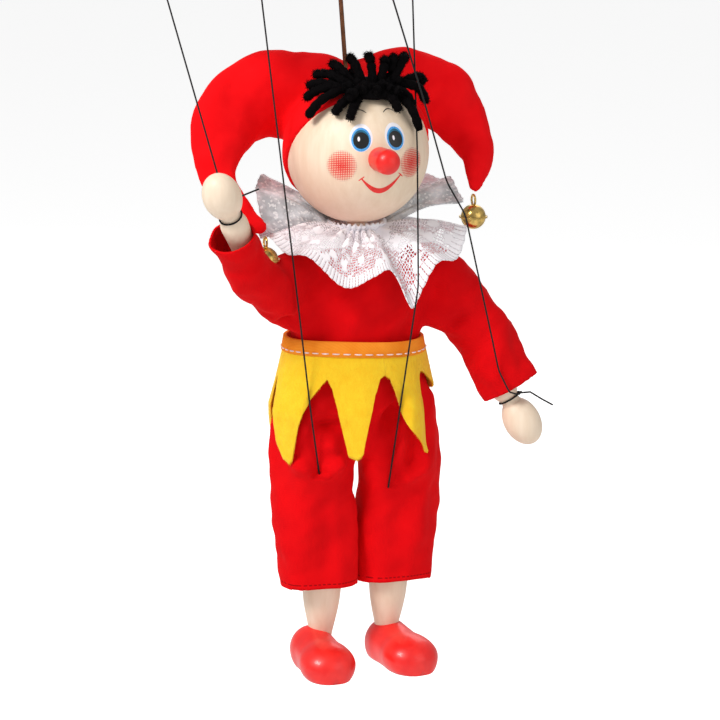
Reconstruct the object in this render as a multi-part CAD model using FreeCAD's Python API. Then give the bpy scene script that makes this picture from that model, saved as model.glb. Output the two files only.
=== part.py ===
"""A string puppet: a turned-wood jester hanging from a wooden control.

Millimetres, +Z up.  The puppet faces -Y and its left side is +X.  The origin is the
bearing point of the hanging hook, inside the top of its loop.  Until it is written out,
every piece is laid out from the middle of the head ball.
"""
import FreeCAD, Part
import math
import os

from FreeCAD import Vector

# ---- Driving dimensions -----------------------------------------------------------------
HANG_HEIGHT = 150.0                    # hook's bearing above the middle of the head ball
HEAD_R = 35.0
NOSE_R = 5.4
NOSE_LENGTH = 20.0
NOSE_SEAT = 6.0
NOSE_RISE = 5.0                        # degrees above the ball's equator
NECK_R = 5.0
CAP_CLOTH = 1.4
CAP_TILT = 34.0                        # degrees, from straight back, of the cap's middle

SHOULDER = Vector(36, 0, -52)          # left side; the right side mirrors it
HIP = Vector(18.5, 3, -112)
KNEE = Vector(18, -1, -167)
ANKLE = Vector(17.5, 6.5, -244)
SOLE_Z = -262.0
TOE_OUT = 7.0                          # degrees

ELBOW = {"right": Vector(-54.3, -20, -63), "left": Vector(50.5, -2.5, -79.5)}
HAND = {"right": Vector(-82, -48, -11.5), "left": Vector(82, -15, -138)}
HAND_R = 9.2                           # egg-shaped hand, largest radius
HAND_HALF = 12.8                       # egg-shaped hand, half its length
ARM_R = 3.8
FOREARM_R = 6.6
GROOVE_R = 4.8

EYE_R = 2.4                            # screw eyes, to the middle of their wire
EYE_WIRE_R = 0.8
EYE_SHANK_R = 0.7
EYE_PLAY = 0.6                         # slack between two linked eyes
PIN_R = 1.2
PIN_PLAY = 0.08
HIP_ROD_R = 1.1
THIGH_R = 7.6
FORK_SLOT = 6.4
TONGUE = 5.8

CLOTH = 1.0
FELT = 1.5
GAP = 0.4                              # left between pieces that aren't joined

BELL_R = 6.2
BELL_WALL = 0.7
PELLET_R = 1.7
LOOP_R = 2.6
STRING_R = 0.42
WIRE_R = 1.1

BAR_W = 14.0
BAR_H = 10.0
CROSS_W = 11.0
CROSS_H = 8.0
BAR_Z = 106.0                          # underside of the main bar
BAR_BEHIND = 34.0                      # main bar, behind the head wire
BAR_AHEAD = 90.0                       # main bar, in front of the head wire
CONTROL_TURN = 43.0                    # degrees, the control's own turn to the right
HAND_BAR_AHEAD = 77.5
HAND_BAR_HALF = 59.4                   # to the string holes
KNEE_BAR_AHEAD = 3.0
KNEE_BAR_HALF = 41.7
KNEE_BAR_TURN = 50.0                   # degrees, the knee bar's turn back on its screw
BAR_END = 6.0                          # wood beyond each string hole
STRING_HOLE_R = 0.9
HOOK_R = 9.5
HOOK_WIRE_R = 1.5
HOOK_AHEAD = 14.5
HANG_HOLE_R = 2.5
HANG_HOLE_BEHIND = 26.0

WIRE_LOW = Vector(0, 0, -40)
WIRE_HIGH = Vector(-2.8, 24, 98)
SIDES = (("right", -1), ("left", 1))
X, Y, Z = Vector(1, 0, 0), Vector(0, 1, 0), Vector(0, 0, 1)

parts = {}


# ---- Helpers ----------------------------------------------------------------------------
def unit(v):
    return Vector(v).normalize()


def mirrored(v, side):
    return Vector(v.x * side, v.y, v.z)


def rod(start, end, r, r_end=None):
    run = end - start
    if r_end is None:
        return Part.makeCylinder(r, run.Length, start, run)
    return Part.makeCone(r, r_end, run.Length, start, run)


def ball(centre, r):
    return Part.makeSphere(r, centre)


def fuse(shapes):
    return shapes[0].multiFuse(shapes[1:]).removeSplitter()


def largest(shape):
    return max(shape.Solids, key=lambda s: s.Volume)


def ellipse(centre, rx, ry, tilt=0.0):
    """A flat ellipse, rx along X and ry along Y, tipped about X by tilt degrees."""
    curve = Part.Ellipse(Vector(0, 0, 0), max(rx, ry), min(rx, ry))
    wire = Part.Wire(curve.toShape())
    if ry > rx:
        wire.rotate(Vector(0, 0, 0), Z, 90)
    wire.rotate(Vector(0, 0, 0), X, tilt)
    wire.translate(centre)
    return wire


def loft(rows, grow=0.0):
    """A solid through ellipses, each given as x, y, z, rx, ry and, if it leans, a tilt."""
    wires = [ellipse(Vector(*row[:3]), row[3] + grow, row[4] + grow, *row[5:]) for row in rows]
    return Part.makeLoft(wires, True, False)


def shell(rows, wall):
    """A tube of cloth, open at both ends."""
    return loft(rows).cut(loft(rows, -wall))


def halfspace(point, normal, size=400.0):
    """A big block on the side of a plane that its normal points to."""
    block = Part.makeBox(size, size, size, Vector(-size / 2, -size / 2, 0))
    block.Placement = FreeCAD.Placement(point, FreeCAD.Rotation(Z, normal))
    return block


def turned(profile, start, along):
    """A turned wooden piece: profile is (distance, radius) pairs along its axis."""
    line = Part.BSplineCurve()
    line.interpolate([Vector(r, 0, d) for d, r in profile])
    top, bottom = profile[0], profile[-1]
    edges = [
        Part.makeLine(Vector(0, 0, top[0]), Vector(top[1], 0, top[0])),
        line.toShape(),
        Part.makeLine(Vector(bottom[1], 0, bottom[0]), Vector(0, 0, bottom[0])),
        Part.makeLine(Vector(0, 0, bottom[0]), Vector(0, 0, top[0])),
    ]
    solid = Part.Face(Part.Wire(edges)).revolve(Vector(0, 0, 0), Z, 360)
    solid.Placement = FreeCAD.Placement(start, FreeCAD.Rotation(Z, along))
    return solid


def egg(centre, along, half, r):
    """An ellipsoid with its long axis along a direction."""
    shape = ball(Vector(0, 0, 0), 1.0)
    stretch = FreeCAD.Matrix()
    stretch.scale(r, r, half)
    shape = shape.transformGeometry(stretch)
    shape.Placement = FreeCAD.Placement(centre, FreeCAD.Rotation(Z, along))
    return shape


def eye(pivot, link, toward, root):
    """Half of a pair of linked screw eyes.

    The ring reaches just past the pivot, against the link direction, lies in the plane of
    link and toward, and has a shank from its far side to the root point in the wood.
    """
    middle = pivot + link * (EYE_R - EYE_WIRE_R - EYE_PLAY / 2)
    ring = Part.makeTorus(EYE_R, EYE_WIRE_R, middle, link.cross(toward))
    return ring.fuse(rod(middle + link * EYE_R, root, EYE_SHANK_R))


def cord(points, r):
    """A round cord: straight runs joined by tangent arcs as large as the runs allow."""
    edges = []
    here = points[0]
    for before, corner, after in zip(points, points[1:], points[2:]):
        a, b = unit(before - corner), unit(after - corner)
        turn = math.pi - a.getAngle(b)
        reach = 0.45 * min((before - corner).Length, (after - corner).Length)
        print("  bend radius %.1f mm" % (reach / math.tan(turn / 2)))
        start, end = corner + a * reach, corner + b * reach
        bulge = reach / math.tan(turn / 2) * (1 / math.cos(turn / 2) - 1)
        arc = Part.Arc(start, corner + unit(a + b) * bulge, end)
        edges += [Part.makeLine(here, start), arc.toShape()]
        here = end
    edges.append(Part.makeLine(here, points[-1]))
    path = Part.Wire(edges)
    section = Part.Wire(Part.makeCircle(r, points[0], points[1] - points[0]))
    tube = path.makePipeShell([section], True, False)
    ratio = tube.Volume / (math.pi * r * r * path.Length)
    print("  cord %.1f mm long, volume ratio %.3f" % (path.Length, ratio))
    return tube


# ---- Control ----------------------------------------------------------------------------
AHEAD = Vector(-math.sin(math.radians(CONTROL_TURN)), -math.cos(math.radians(CONTROL_TURN)), 0)
ACROSS = Vector(-AHEAD.y, AHEAD.x, 0)
KNEE_ACROSS = FreeCAD.Rotation(Z, KNEE_BAR_TURN).multVec(ACROSS)
WIRE_AXIS = unit(WIRE_HIGH - WIRE_LOW)


def on_bar(ahead, z):
    return Vector(WIRE_HIGH.x, WIRE_HIGH.y, 0) + AHEAD * ahead + Z * z


def bar(middle, along, half, width, height):
    """A square wooden bar with its underside's middle at a point, edges rounded."""
    block = Part.makeBox(2 * half, width, height, Vector(-half, -width / 2, 0))
    block = block.makeFillet(1.5, block.Edges)
    block.Placement = FreeCAD.Placement(middle, FreeCAD.Rotation(X, along))
    return block


HOOK_BEARING = on_bar(HOOK_AHEAD, HANG_HEIGHT)
CROSS_Z = BAR_Z - CROSS_H
HAND_BAR_MIDDLE = on_bar(HAND_BAR_AHEAD, CROSS_Z)
KNEE_BAR_MIDDLE = on_bar(KNEE_BAR_AHEAD, CROSS_Z)
HOLES = {}
for side_name, side in SIDES:
    HOLES["hand_" + side_name] = HAND_BAR_MIDDLE + ACROSS * (side * HAND_BAR_HALF)
    HOLES["knee_" + side_name] = KNEE_BAR_MIDDLE + KNEE_ACROSS * (side * KNEE_BAR_HALF)


def screw(middle, length):
    """A round-headed wood screw driven down through a bar."""
    head = ball(middle, 2.6).common(halfspace(middle, Z))
    return head.fuse(rod(middle - Z * length, middle, 1.2))


def make_control():
    top = BAR_Z + BAR_H
    bar_middle = on_bar((BAR_AHEAD - BAR_BEHIND) / 2, BAR_Z)
    main = bar(bar_middle, AHEAD, (BAR_AHEAD + BAR_BEHIND) / 2, BAR_W, BAR_H)
    hand_bar = bar(HAND_BAR_MIDDLE, ACROSS, HAND_BAR_HALF + BAR_END, CROSS_W, CROSS_H)
    knee_bar = bar(KNEE_BAR_MIDDLE, KNEE_ACROSS, KNEE_BAR_HALF + BAR_END, CROSS_W, CROSS_H)

    screws = []
    for ahead in (HAND_BAR_AHEAD - 3, HAND_BAR_AHEAD + 3, KNEE_BAR_AHEAD + 5):
        screws.append(screw(on_bar(ahead, top), BAR_H + 6))
    screws = Part.makeCompound(screws)

    wire_top = WIRE_LOW + WIRE_AXIS * ((top + 2.0 - WIRE_LOW.z) / WIRE_AXIS.z)
    corner = Vector(wire_top.x, wire_top.y, top + WIRE_R + 0.2)
    tail = corner - AHEAD * 17
    wire = fuse([
        rod(WIRE_LOW, corner, WIRE_R),
        ball(corner, WIRE_R),
        rod(corner, tail, WIRE_R),
        Part.makeTorus(EYE_R, EYE_WIRE_R, WIRE_LOW - Z * EYE_R, Y),
    ])

    staple_middle = corner - AHEAD * 10
    legs = [staple_middle + ACROSS * (s * 2.6) for s in (-1, 1)]
    crown_z = Z * 2.2
    staple = fuse([
        rod(legs[0] - Z * 7, legs[0] + crown_z, 0.6),
        rod(legs[1] - Z * 7, legs[1] + crown_z, 0.6),
        rod(legs[0] + crown_z, legs[1] + crown_z, 0.6),
        ball(legs[0] + crown_z, 0.6),
        ball(legs[1] + crown_z, 0.6),
    ])

    hook_foot = on_bar(HOOK_AHEAD, top)
    loop_middle = HOOK_BEARING - Z * (HOOK_R - HOOK_WIRE_R)
    loop = Part.makeTorus(HOOK_R, HOOK_WIRE_R, loop_middle, ACROSS)
    mouth_at = loop_middle - Z * HOOK_R + AHEAD * 1.0
    mouth = Part.makeBox(20, 20, 6.5, Vector(1.6, -10, 0))
    mouth.Placement = FreeCAD.Placement(mouth_at, FreeCAD.Rotation(X, AHEAD))
    mouth.translate(Z * 1.0)
    hook = fuse([loop.cut(mouth), rod(hook_foot - Z * 9, loop_middle - Z * HOOK_R, HOOK_WIRE_R)])
    collar_ring = rod(hook_foot, hook_foot + Z * 1.6, 3.4)
    hook = hook.fuse(collar_ring).removeSplitter()

    wire_bore = rod(WIRE_LOW, corner, WIRE_R + 0.02)
    hang_hole = on_bar(-HANG_HOLE_BEHIND, BAR_Z - 1)
    main = main.cut(wire_bore).cut(screws).cut(staple).cut(hook)
    main = main.cut(rod(hang_hole, hang_hole + Z * (BAR_H + 2), HANG_HOLE_R))
    for name in ("hand_right", "hand_left"):
        hand_bar = hand_bar.cut(rod(HOLES[name] - Z, HOLES[name] + Z * (CROSS_H + 1), STRING_HOLE_R))
    for name in ("knee_right", "knee_left"):
        knee_bar = knee_bar.cut(rod(HOLES[name] - Z, HOLES[name] + Z * (CROSS_H + 1), STRING_HOLE_R))
    parts["control_bar"] = main
    parts["hand_crossbar"] = hand_bar.cut(screws)
    parts["knee_crossbar"] = knee_bar.cut(screws).cut(wire_bore)
    parts["crossbar_screws"] = screws
    parts["head_wire"] = wire
    parts["wire_staple"] = staple
    parts["hanging_hook"] = hook


# ---- Head -------------------------------------------------------------------------------
CAP_NORMAL = Vector(0, math.cos(math.radians(CAP_TILT)), math.sin(math.radians(CAP_TILT)))
CAP_IN = HEAD_R + 0.3
CAP_OUT = CAP_IN + CAP_CLOTH
HORN_DEPTH = 0.6                       # the horns are sewn flat and lightly stuffed
# Horn spines: x, y, z and half the height of the stuffed cloth, root to tip.
HORN_SPINES = {
    "right": (
        (-20, 23, 25, 23), (-38, 24, 27, 22), (-55, 20, 21, 18.5), (-68, 9, 9, 14.5),
        (-72.5, -2, -8, 10.0), (-64, -10, -23, 6.0), (-52.5, -15, -34.5, 2.2),
    ),
    "left": (
        (20, 23, 27, 23), (38, 24, 30, 21), (53, 22, 22, 17.5), (62, 16, 6, 13.5),
        (64.5, 7, -5, 9.0), (62, 1, -14, 5.0), (60, -2.5, -21.5, 2.2),
    ),
}
# Hair strands: where each tip is; they all leave a thick patch on the brow.
HAIR_PATCH = Vector(2, -29, 27)
HAIR_TIPS = (
    (-34, -22, 22), (-31, -20, 14), (-27, -14, 38), (-17, -12, 44), (-7, -12, 47),
    (4, -14, 48), (12, -20, 44), (29, -22, 46), (33, -17, 33), (33, -15, 22),
    (29, -26, 8), (-16, -33, 16), (-9, -34, 20), (18, -33, 18),
)
HAIR_R = 3.0


def make_head():
    wire_bore = rod(WIRE_LOW - WIRE_AXIS * 5, WIRE_LOW + WIRE_AXIS * 90, WIRE_R + PIN_PLAY)
    head = ball(Vector(0, 0, 0), HEAD_R)
    nose_axis = Vector(0, -math.cos(math.radians(NOSE_RISE)), math.sin(math.radians(NOSE_RISE)))
    nose_root = nose_axis * (HEAD_R - NOSE_SEAT)
    nose_tip = nose_axis * (HEAD_R + NOSE_LENGTH - NOSE_R)
    nose = fuse([rod(nose_root, nose_tip, NOSE_R), ball(nose_tip, NOSE_R)])
    neck = turned(((0, NECK_R + 0.6), (2.5, NECK_R), (5.2, NECK_R - 0.4)), Vector(0, 0, -33.5), Z * -1)
    neck = neck.cut(head).cut(wire_bore)
    parts["head_ball"] = head.cut(nose).cut(wire_bore)
    parts["nose_peg"] = nose
    parts["neck_peg"] = neck

    cap_solid = ball(Vector(0, 0, 0), CAP_OUT)
    crown = cap_solid.cut(ball(Vector(0, 0, 0), CAP_IN))
    crown = crown.common(halfspace(Vector(0, 0, 0), CAP_NORMAL))
    wire_hole = rod(WIRE_LOW, WIRE_LOW + WIRE_AXIS * 90, WIRE_R + GAP)
    parts["cap_crown"] = crown.cut(wire_hole)
    for side_name, side in SIDES:
        spine = [Vector(*row[:3]) for row in HORN_SPINES[side_name]]
        rounds = []
        for i, (*_, r) in enumerate(HORN_SPINES[side_name]):
            along = spine[min(i + 1, len(spine) - 1)] - spine[max(i - 1, 0)]
            wide = unit(along.cross(Y))
            deep = unit(wide.cross(along)) * side
            rim = Part.Ellipse(spine[i] + wide * r, spine[i] + deep * r * HORN_DEPTH, spine[i])
            rounds.append(Part.Wire(rim.toShape()))
        horn = Part.makeLoft(rounds, True, False).cut(ball(Vector(0, 0, 0), CAP_OUT))
        horn = horn.common(halfspace(Vector(side * GAP / 2, 0, 0), X * side))
        parts["cap_horn_" + side_name] = largest(horn.cut(wire_hole))


def make_hair():
    patch = egg(HAIR_PATCH, unit(HAIR_PATCH), 5.0, 15.0)
    strands = [patch]
    for tip in HAIR_TIPS:
        tip = Vector(*tip)
        start = HAIR_PATCH + unit(tip - HAIR_PATCH) * 6
        strands += [rod(start, tip, HAIR_R), ball(tip, HAIR_R)]
    hair = fuse(strands)
    keep_off = [ball(Vector(0, 0, 0), CAP_OUT), parts["cap_horn_left"], parts["cap_horn_right"]]
    for other in keep_off:
        hair = hair.cut(other)
    parts["hair_yarn"] = Part.makeCompound([s for s in hair.Solids if s.Volume > 20])


# ---- Bells ------------------------------------------------------------------------------
BELLS = {"right": Vector(-51.5, -15, -37.6), "left": Vector(59.5, -3, -24)}


def make_bells():
    """A two-part jingle bell with a slot across its foot, hung by a wire loop."""
    for side_name, hang in BELLS.items():
        loop_middle = hang - Z * LOOP_R
        middle = loop_middle - Z * (LOOP_R + BELL_R - 0.4)
        shell_solid = ball(middle, BELL_R).fuse(rod(middle - Z * 0.4, middle + Z * 0.4, BELL_R + 0.9))
        shell_solid = shell_solid.cut(ball(middle, BELL_R - BELL_WALL))
        slot = Part.makeBox(2 * BELL_R, 1.1, BELL_R, middle - Vector(BELL_R, 0.55, BELL_R + 2))
        shell_solid = shell_solid.cut(slot)
        loop = Part.makeTorus(LOOP_R, 0.55, loop_middle, X)
        pellet = ball(middle - Z * (BELL_R - BELL_WALL - PELLET_R - 0.05), PELLET_R)
        parts["bell_shell_" + side_name] = shell_solid.cut(loop)
        parts["bell_loop_" + side_name] = loop
        parts["bell_pellet_" + side_name] = pellet


# ---- Torso ------------------------------------------------------------------------------
TORSO_ROWS = (
    (0, 0, -52, 16, 8), (0, 0, -56.5, 27.5, 11.5), (0, 0, -66, 27.5, 13), (0, 1, -103, 23, 13),
)


def make_torso():
    block = loft(TORSO_ROWS)
    hip = Vector(0, HIP.y, HIP.z)
    tab = Part.makeBox(15, 13, 16, Vector(-7.5, hip.y - 6.5, hip.z - 6.5))
    block = block.fuse(tab).removeSplitter()
    reach = X * 27.9
    hip_rod = fuse([
        rod(hip - reach, hip + reach, HIP_ROD_R),
        rod(hip - reach, hip - reach + X * 1.0, 2.4),
        rod(hip + reach - X * 1.0, hip + reach, 2.4),
    ])
    neck_pivot = WIRE_LOW - Z * (2 * EYE_R - EYE_WIRE_R - EYE_PLAY / 2)
    eyes = [eye(neck_pivot, Z * -1, Y, Vector(0, 0, -58))]
    for side_name, side in SIDES:
        pivot = mirrored(SHOULDER, side)
        upper = unit(ELBOW[side_name] - pivot)
        flat = upper.cross(HAND[side_name] - ELBOW[side_name])
        eyes.append(eye(pivot, upper * -1, flat.cross(upper), Vector(side * 23.5, 0, -59.5)))
    eyes = Part.makeCompound(eyes)
    parts["torso_block"] = block.cut(hip_rod).cut(eyes)
    parts["hip_rod"] = hip_rod
    parts["torso_eyes"] = eyes


# ---- Arms -------------------------------------------------------------------------------
SLEEVE_R = {"right": (10.5, 9.5, 13.0), "left": (12.0, 12.5, 14.0)}    # shoulder, elbow, cuff
CUFF_SHORT = {"right": 24.0, "left": 18.0}     # hand's middle to the cuff
SLEEVE_TOP = Vector(33, 0, -59)
KNOT_SIDE = {"right": Vector(0.3, 0.93, -0.2), "left": Vector(0.95, -0.31, 0)}
KNOT_R = 1.1
EYE_ROOM = 6.0                         # ball of space round a shoulder's linked eyes
TAILS = {
    "right": [Vector(-69, -34, -14), Vector(-59.5, -31, -11.5)],
    "left": [Vector(87, -13, -124), Vector(94, -11.5, -128.5), Vector(100, -10.5, -132)],
}


def make_arm(side_name, side):
    shoulder = mirrored(SHOULDER, side)
    elbow, hand = ELBOW[side_name], HAND[side_name]
    upper, lower = unit(elbow - shoulder), unit(hand - elbow)
    flat = upper.cross(lower)

    arm_top, arm_end = shoulder + upper * 8, elbow - upper * 8
    reach = (arm_end - arm_top).Length
    wood = turned(((0, 3.0), (reach / 2, ARM_R), (reach, 3.0)), arm_top, upper)
    link = unit(upper + lower)
    eyes = Part.makeCompound([
        eye(shoulder, upper, flat, arm_top + upper * 6),
        eye(elbow, link * -1, upper, arm_end - upper * 6),
    ])
    parts["upper_arm_" + side_name] = wood.cut(eyes)
    parts["upper_arm_eyes_" + side_name] = eyes

    stick_top = elbow + lower * 9
    wrist = hand - lower * 13.2
    reach = (wrist - stick_top).Length
    stick = turned(((0, 4.0), (8, 5.2), (reach - 9, FOREARM_R), (reach - 3, FOREARM_R - 0.4),
                    (reach, GROOVE_R), (reach + 3.6, FOREARM_R - 0.6)), stick_top, lower)
    forearm = fuse([stick, egg(hand, lower, HAND_HALF, HAND_R)])
    fore_eye = eye(elbow, link, flat, stick_top + lower * 5)
    parts["forearm_hand_" + side_name] = forearm.cut(fore_eye)
    parts["forearm_eye_" + side_name] = fore_eye

    loop_r = GROOVE_R + STRING_R + 0.25
    knot = wrist + unit(KNOT_SIDE[side_name] - lower * KNOT_SIDE[side_name].dot(lower)) * loop_r
    tail = [rod(a, b, STRING_R) for a, b in zip([knot, *TAILS[side_name]], TAILS[side_name])]
    joints = [ball(p, STRING_R) for p in TAILS[side_name]]
    loop = Part.makeTorus(loop_r, STRING_R, wrist, lower)
    tied = fuse([loop, ball(knot, KNOT_R), *tail, *joints])
    parts["wrist_loop_" + side_name] = tied.cut(forearm)

    r_top, r_elbow, r_cuff = SLEEVE_R[side_name]
    sleeve_top = mirrored(SLEEVE_TOP, side)
    along = unit(elbow - sleeve_top)
    cuff = hand - lower * CUFF_SHORT[side_name]
    bisector = unit(along + lower)
    stop = r_elbow

    def tube(r_less):
        upper_tube = rod(sleeve_top, elbow + along * stop, r_top - r_less, r_elbow - r_less)
        lower_tube = rod(elbow - lower * stop, cuff, r_elbow - r_less, r_cuff - r_less)
        return upper_tube, lower_tube

    outer, inner = tube(0), tube(CLOTH)
    past_elbow = halfspace(elbow + bisector * GAP, bisector)
    before_elbow = halfspace(elbow, bisector * -1)
    body = loft(TORSO_ROWS, GAP)
    upper_sleeve = outer[0].cut(inner[0]).common(before_elbow).cut(body)
    parts["sleeve_upper_" + side_name] = upper_sleeve.cut(ball(shoulder, EYE_ROOM))
    parts["sleeve_lower_" + side_name] = outer[1].cut(inner[1]).common(past_elbow)
    return rod(sleeve_top - along * 2, sleeve_top + along * 30, r_top + GAP)


# ---- Legs -------------------------------------------------------------------------------
SHIN_PROFILE = ((0, 8.0), (14, 9.4), (34, 9.9), (50, 9.3), (62, 7.2), (70, 5.6), (78, 5.4))
SHOE_ROWS = (   # distance ahead of the ankle, half width, height of the top
    (-13, 3.5, 8), (-11, 7.6, 14), (-5, 9.4, 18.5), (3, 8.6, 19), (10, 8.6, 15.5),
    (18, 10.8, 15.5), (25, 10.6, 14.5), (30, 8.0, 11.5), (32.5, 3.8, 7),
)


def make_shoe(ankle, side):
    """A carved clog shape: round sections stood on the sole, then trimmed flat below."""
    wires = []
    for ahead, half_width, top in SHOE_ROWS:
        bottom = -1.5
        centre = Vector(0, -ahead, (top + bottom) / 2)
        wire = ellipse(Vector(0, 0, 0), half_width, (top - bottom) / 2)
        wire.rotate(Vector(0, 0, 0), X, 90)
        wire.translate(centre)
        wires.append(wire)
    shoe = Part.makeLoft(wires, True, False).common(halfspace(Vector(0, 0, 0), Z))
    shoe.rotate(Vector(0, 0, 0), Z, side * TOE_OUT)
    shoe.translate(Vector(ankle.x, ankle.y, SOLE_Z))
    return shoe


def make_leg(side_name, side):
    hip, knee, ankle = (mirrored(p, side) for p in (HIP, KNEE, ANKLE))
    down, shank = unit(knee - hip), unit(ankle - knee)
    half = X * 8
    thigh = fuse([
        rod(hip - half, hip + half, THIGH_R),
        rod(hip, knee, THIGH_R),
        rod(knee - half, knee + half, THIGH_R),
    ])
    slot = Part.makeBox(FORK_SLOT, 30, 30, Vector(knee.x - FORK_SLOT / 2, knee.y - 15, knee.z - 22))
    pin = rod(knee - half, knee + half, PIN_R)
    thigh = thigh.cut(slot).cut(pin)
    thigh = thigh.cut(rod(hip - X * 12, hip + X * 12, HIP_ROD_R + PIN_PLAY))
    parts["thigh_" + side_name] = thigh
    parts["knee_pin_" + side_name] = pin

    tongue = rod(knee - X * (TONGUE / 2), knee + X * (TONGUE / 2), 6.4)
    neck = Part.makeBox(TONGUE, 10.5, 14, Vector(knee.x - TONGUE / 2, knee.y - 5.25, knee.z - 14))
    calf = turned(SHIN_PROFILE, knee + shank * 10, shank)
    shin = fuse([tongue, neck, calf])
    shoe = make_shoe(ankle, side)
    parts["shin_" + side_name] = shin.cut(rod(knee - half, knee + half, PIN_R + PIN_PLAY))
    parts["shoe_" + side_name] = shoe.cut(shin)


# ---- Clothes ----------------------------------------------------------------------------
JACKET_ROWS = (
    (0, 0, -96, 32.6, 18.8), (0, 0, -88, 35.2, 20.5), (0, 0, -72, 36.4, 20.0),
    (0, 0, -61, 36, 17), (0, 0, -55, 33, 15), (0, 0, -51, 24, 12), (0, 0, -48, 13.5, 9.5),
)
SEAT_ROWS = (
    (0, 0, -95, 34.6, 20.6), (0, 0, -103, 36.6, 21), (0, 1.5, -118, 40, 19.8),
    (0, 2, -129, 41.5, 18.5),
)
SKIRT_ROWS = (
    (0, 0, -94, 35.9, 22.1), (0, 0, -106, 39.2, 24), (0, 1, -122, 43, 25),
    (0, 1.5, -150, 45, 25.5),
)
BAND_ROWS = ((0, 0, -91, 37.0, 23.2), (0, 0, -98.5, 38.6, 24.6))
BAND_CLOTH = 0.8
TROUSER_UPPER = ((21.4, 3, -130, 19.6, 15.2), (21.4, 2.5, -160, 19.9, 15.4))
TROUSER_LOWER = ((21.4, 2.5, -160.5, 19.9, 15.4), (21.0, 4, -218, 19.6, 14.8))
# The skirt's zigzag, in degrees from the front towards the left side, with heights.
SKIRT_NOTCHES = (
    (-88, -108), (-44, -106), (14, -106), (56, -106), (98, -108), (140, -108),
    (182, -108), (228, -108),
)
SKIRT_TONGUES = (
    (-70, -148), (-16, -148), (36, -148), (78, -142), (119, -142), (161, -142),
    (205, -142), (252, -142),
)
SKIRT_SPLIT = 14.0                     # degrees, where the skirt's strip meets in front
COLLAR_LACE = ((0, 0, -39.0, 12.8, 12.2, 6.0), (0, 1, -43.5, 50.5, 42.0, 26.0))
COLLAR_NET = ((0, 0, -40.6, 12.8, 12.2, 6.0), (0, 2, -44.6, 46.5, 39.0, 27.0))
COLLAR_CLOTH = 1.1
COLLAR_HOLE_R = 9.0


def collar(rows, drop):
    """A dish of cloth between a neck ring and a wide tipped edge."""
    lowered = [(x, y, z - drop, rx, ry, tilt) for x, y, z, rx, ry, tilt in rows]
    neck = rod(Z * (rows[0][2] - 8), Z * (rows[0][2] + 8), COLLAR_HOLE_R)
    return loft(rows).cut(loft(lowered)).cut(neck)


def skirt_point(degrees):
    a = math.radians(degrees)
    return Vector(44 * math.sin(a), -25 * math.cos(a), 0)


def make_skirt():
    """The felt strip, with a wedge cut out under each notch of its zigzag."""
    cloth = shell(SKIRT_ROWS, FELT)
    low = Z * (SKIRT_ROWS[-1][2] - 6)
    for i, (notch, height) in enumerate(SKIRT_NOTCHES):
        out = unit(skirt_point(notch))
        sideways = Vector(-out.y, out.x, 0)
        before, after = (
            (sideways * skirt_point(a).dot(sideways), Z * z)
            for a, z in (SKIRT_TONGUES[i - 1], SKIRT_TONGUES[i])
        )
        outline = [Z * height, before[0] + before[1], before[0] + low, after[0] + low,
                   after[0] + after[1], Z * height]
        cloth = cloth.cut(Part.Face(Part.makePolygon(outline)).extrude(out * 80))
    return cloth


def half_skirt(cloth, side):
    """The part of the skirt on one side of the front and back seams."""
    front, back = skirt_point(SKIRT_SPLIT), skirt_point(SKIRT_NOTCHES[-2][0])
    seam = unit(front - back)
    normal = Vector(-seam.y, seam.x, 0) * side
    return cloth.common(halfspace(front + normal * (GAP / 4) + Z * SKIRT_ROWS[0][2], normal))


def make_clothes(sleeve_bores):
    jacket = shell(JACKET_ROWS, CLOTH)
    for bore in sleeve_bores:
        jacket = jacket.cut(bore)
    parts["jacket_body"] = largest(jacket.cut(parts["torso_eyes"]))
    parts["trousers_seat"] = shell(SEAT_ROWS, CLOTH)
    parts["waistband"] = shell(BAND_ROWS, BAND_CLOTH)
    skirt = make_skirt()
    for side_name, side in SIDES:
        parts["felt_skirt_" + side_name] = half_skirt(skirt, side)
        for name, rows in (("upper", TROUSER_UPPER), ("lower", TROUSER_LOWER)):
            placed = [(x * side, y, z, rx, ry) for x, y, z, rx, ry in rows]
            parts["trouser_%s_%s" % (name, side_name)] = shell(placed, CLOTH)
    parts["lace_collar"] = collar(COLLAR_LACE, COLLAR_CLOTH)
    parts["collar_net"] = collar(COLLAR_NET, COLLAR_CLOTH)


# ---- Strings ----------------------------------------------------------------------------
STRING_ROUTES = {
    "hand_right": [(-76.6, -35.8, -17.4)],
    "hand_left": [(16, -56, 27), (30, -46, -10), (41, -42, -27), (61.6, -26.5, -94),
                  (65.5, -24.7, -109), (70.5, -26.5, -120), (77, -21.5, -122.8),
                  (80.9, -16.2, -122.6)],
    "knee_right": [(-41.3, -28, -50), (-30.2, -19, -124.7), (-24.1, -13.4, -158.3)],
    "knee_left": [(19.4, -33.5, 2.7), (18.4, -38.6, -61.5), (12.4, -11.4, -168)],
}
SOFT_PIECES = (
    "hair_yarn", "lace_collar", "collar_net", "felt_skirt_right", "felt_skirt_left",
    "sleeve_upper_right", "sleeve_upper_left", "sleeve_lower_right", "sleeve_lower_left",
    "trouser_upper_right", "trouser_upper_left", "trouser_lower_right", "trouser_lower_left",
)
STRING_ROOM = 0.8                      # radius of the way a string finds through soft cloth
BELL_ROOM = 8.0


def make_strings():
    rooms = []
    for name, route in STRING_ROUTES.items():
        limb, side_name = name.split("_")
        points = [HOLES[name], *(Vector(*p) for p in route)]
        parts["%s_string_%s" % (limb, side_name)] = cord(points, STRING_R)
        rooms.append(cord(points, STRING_ROOM))
    return rooms


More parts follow.
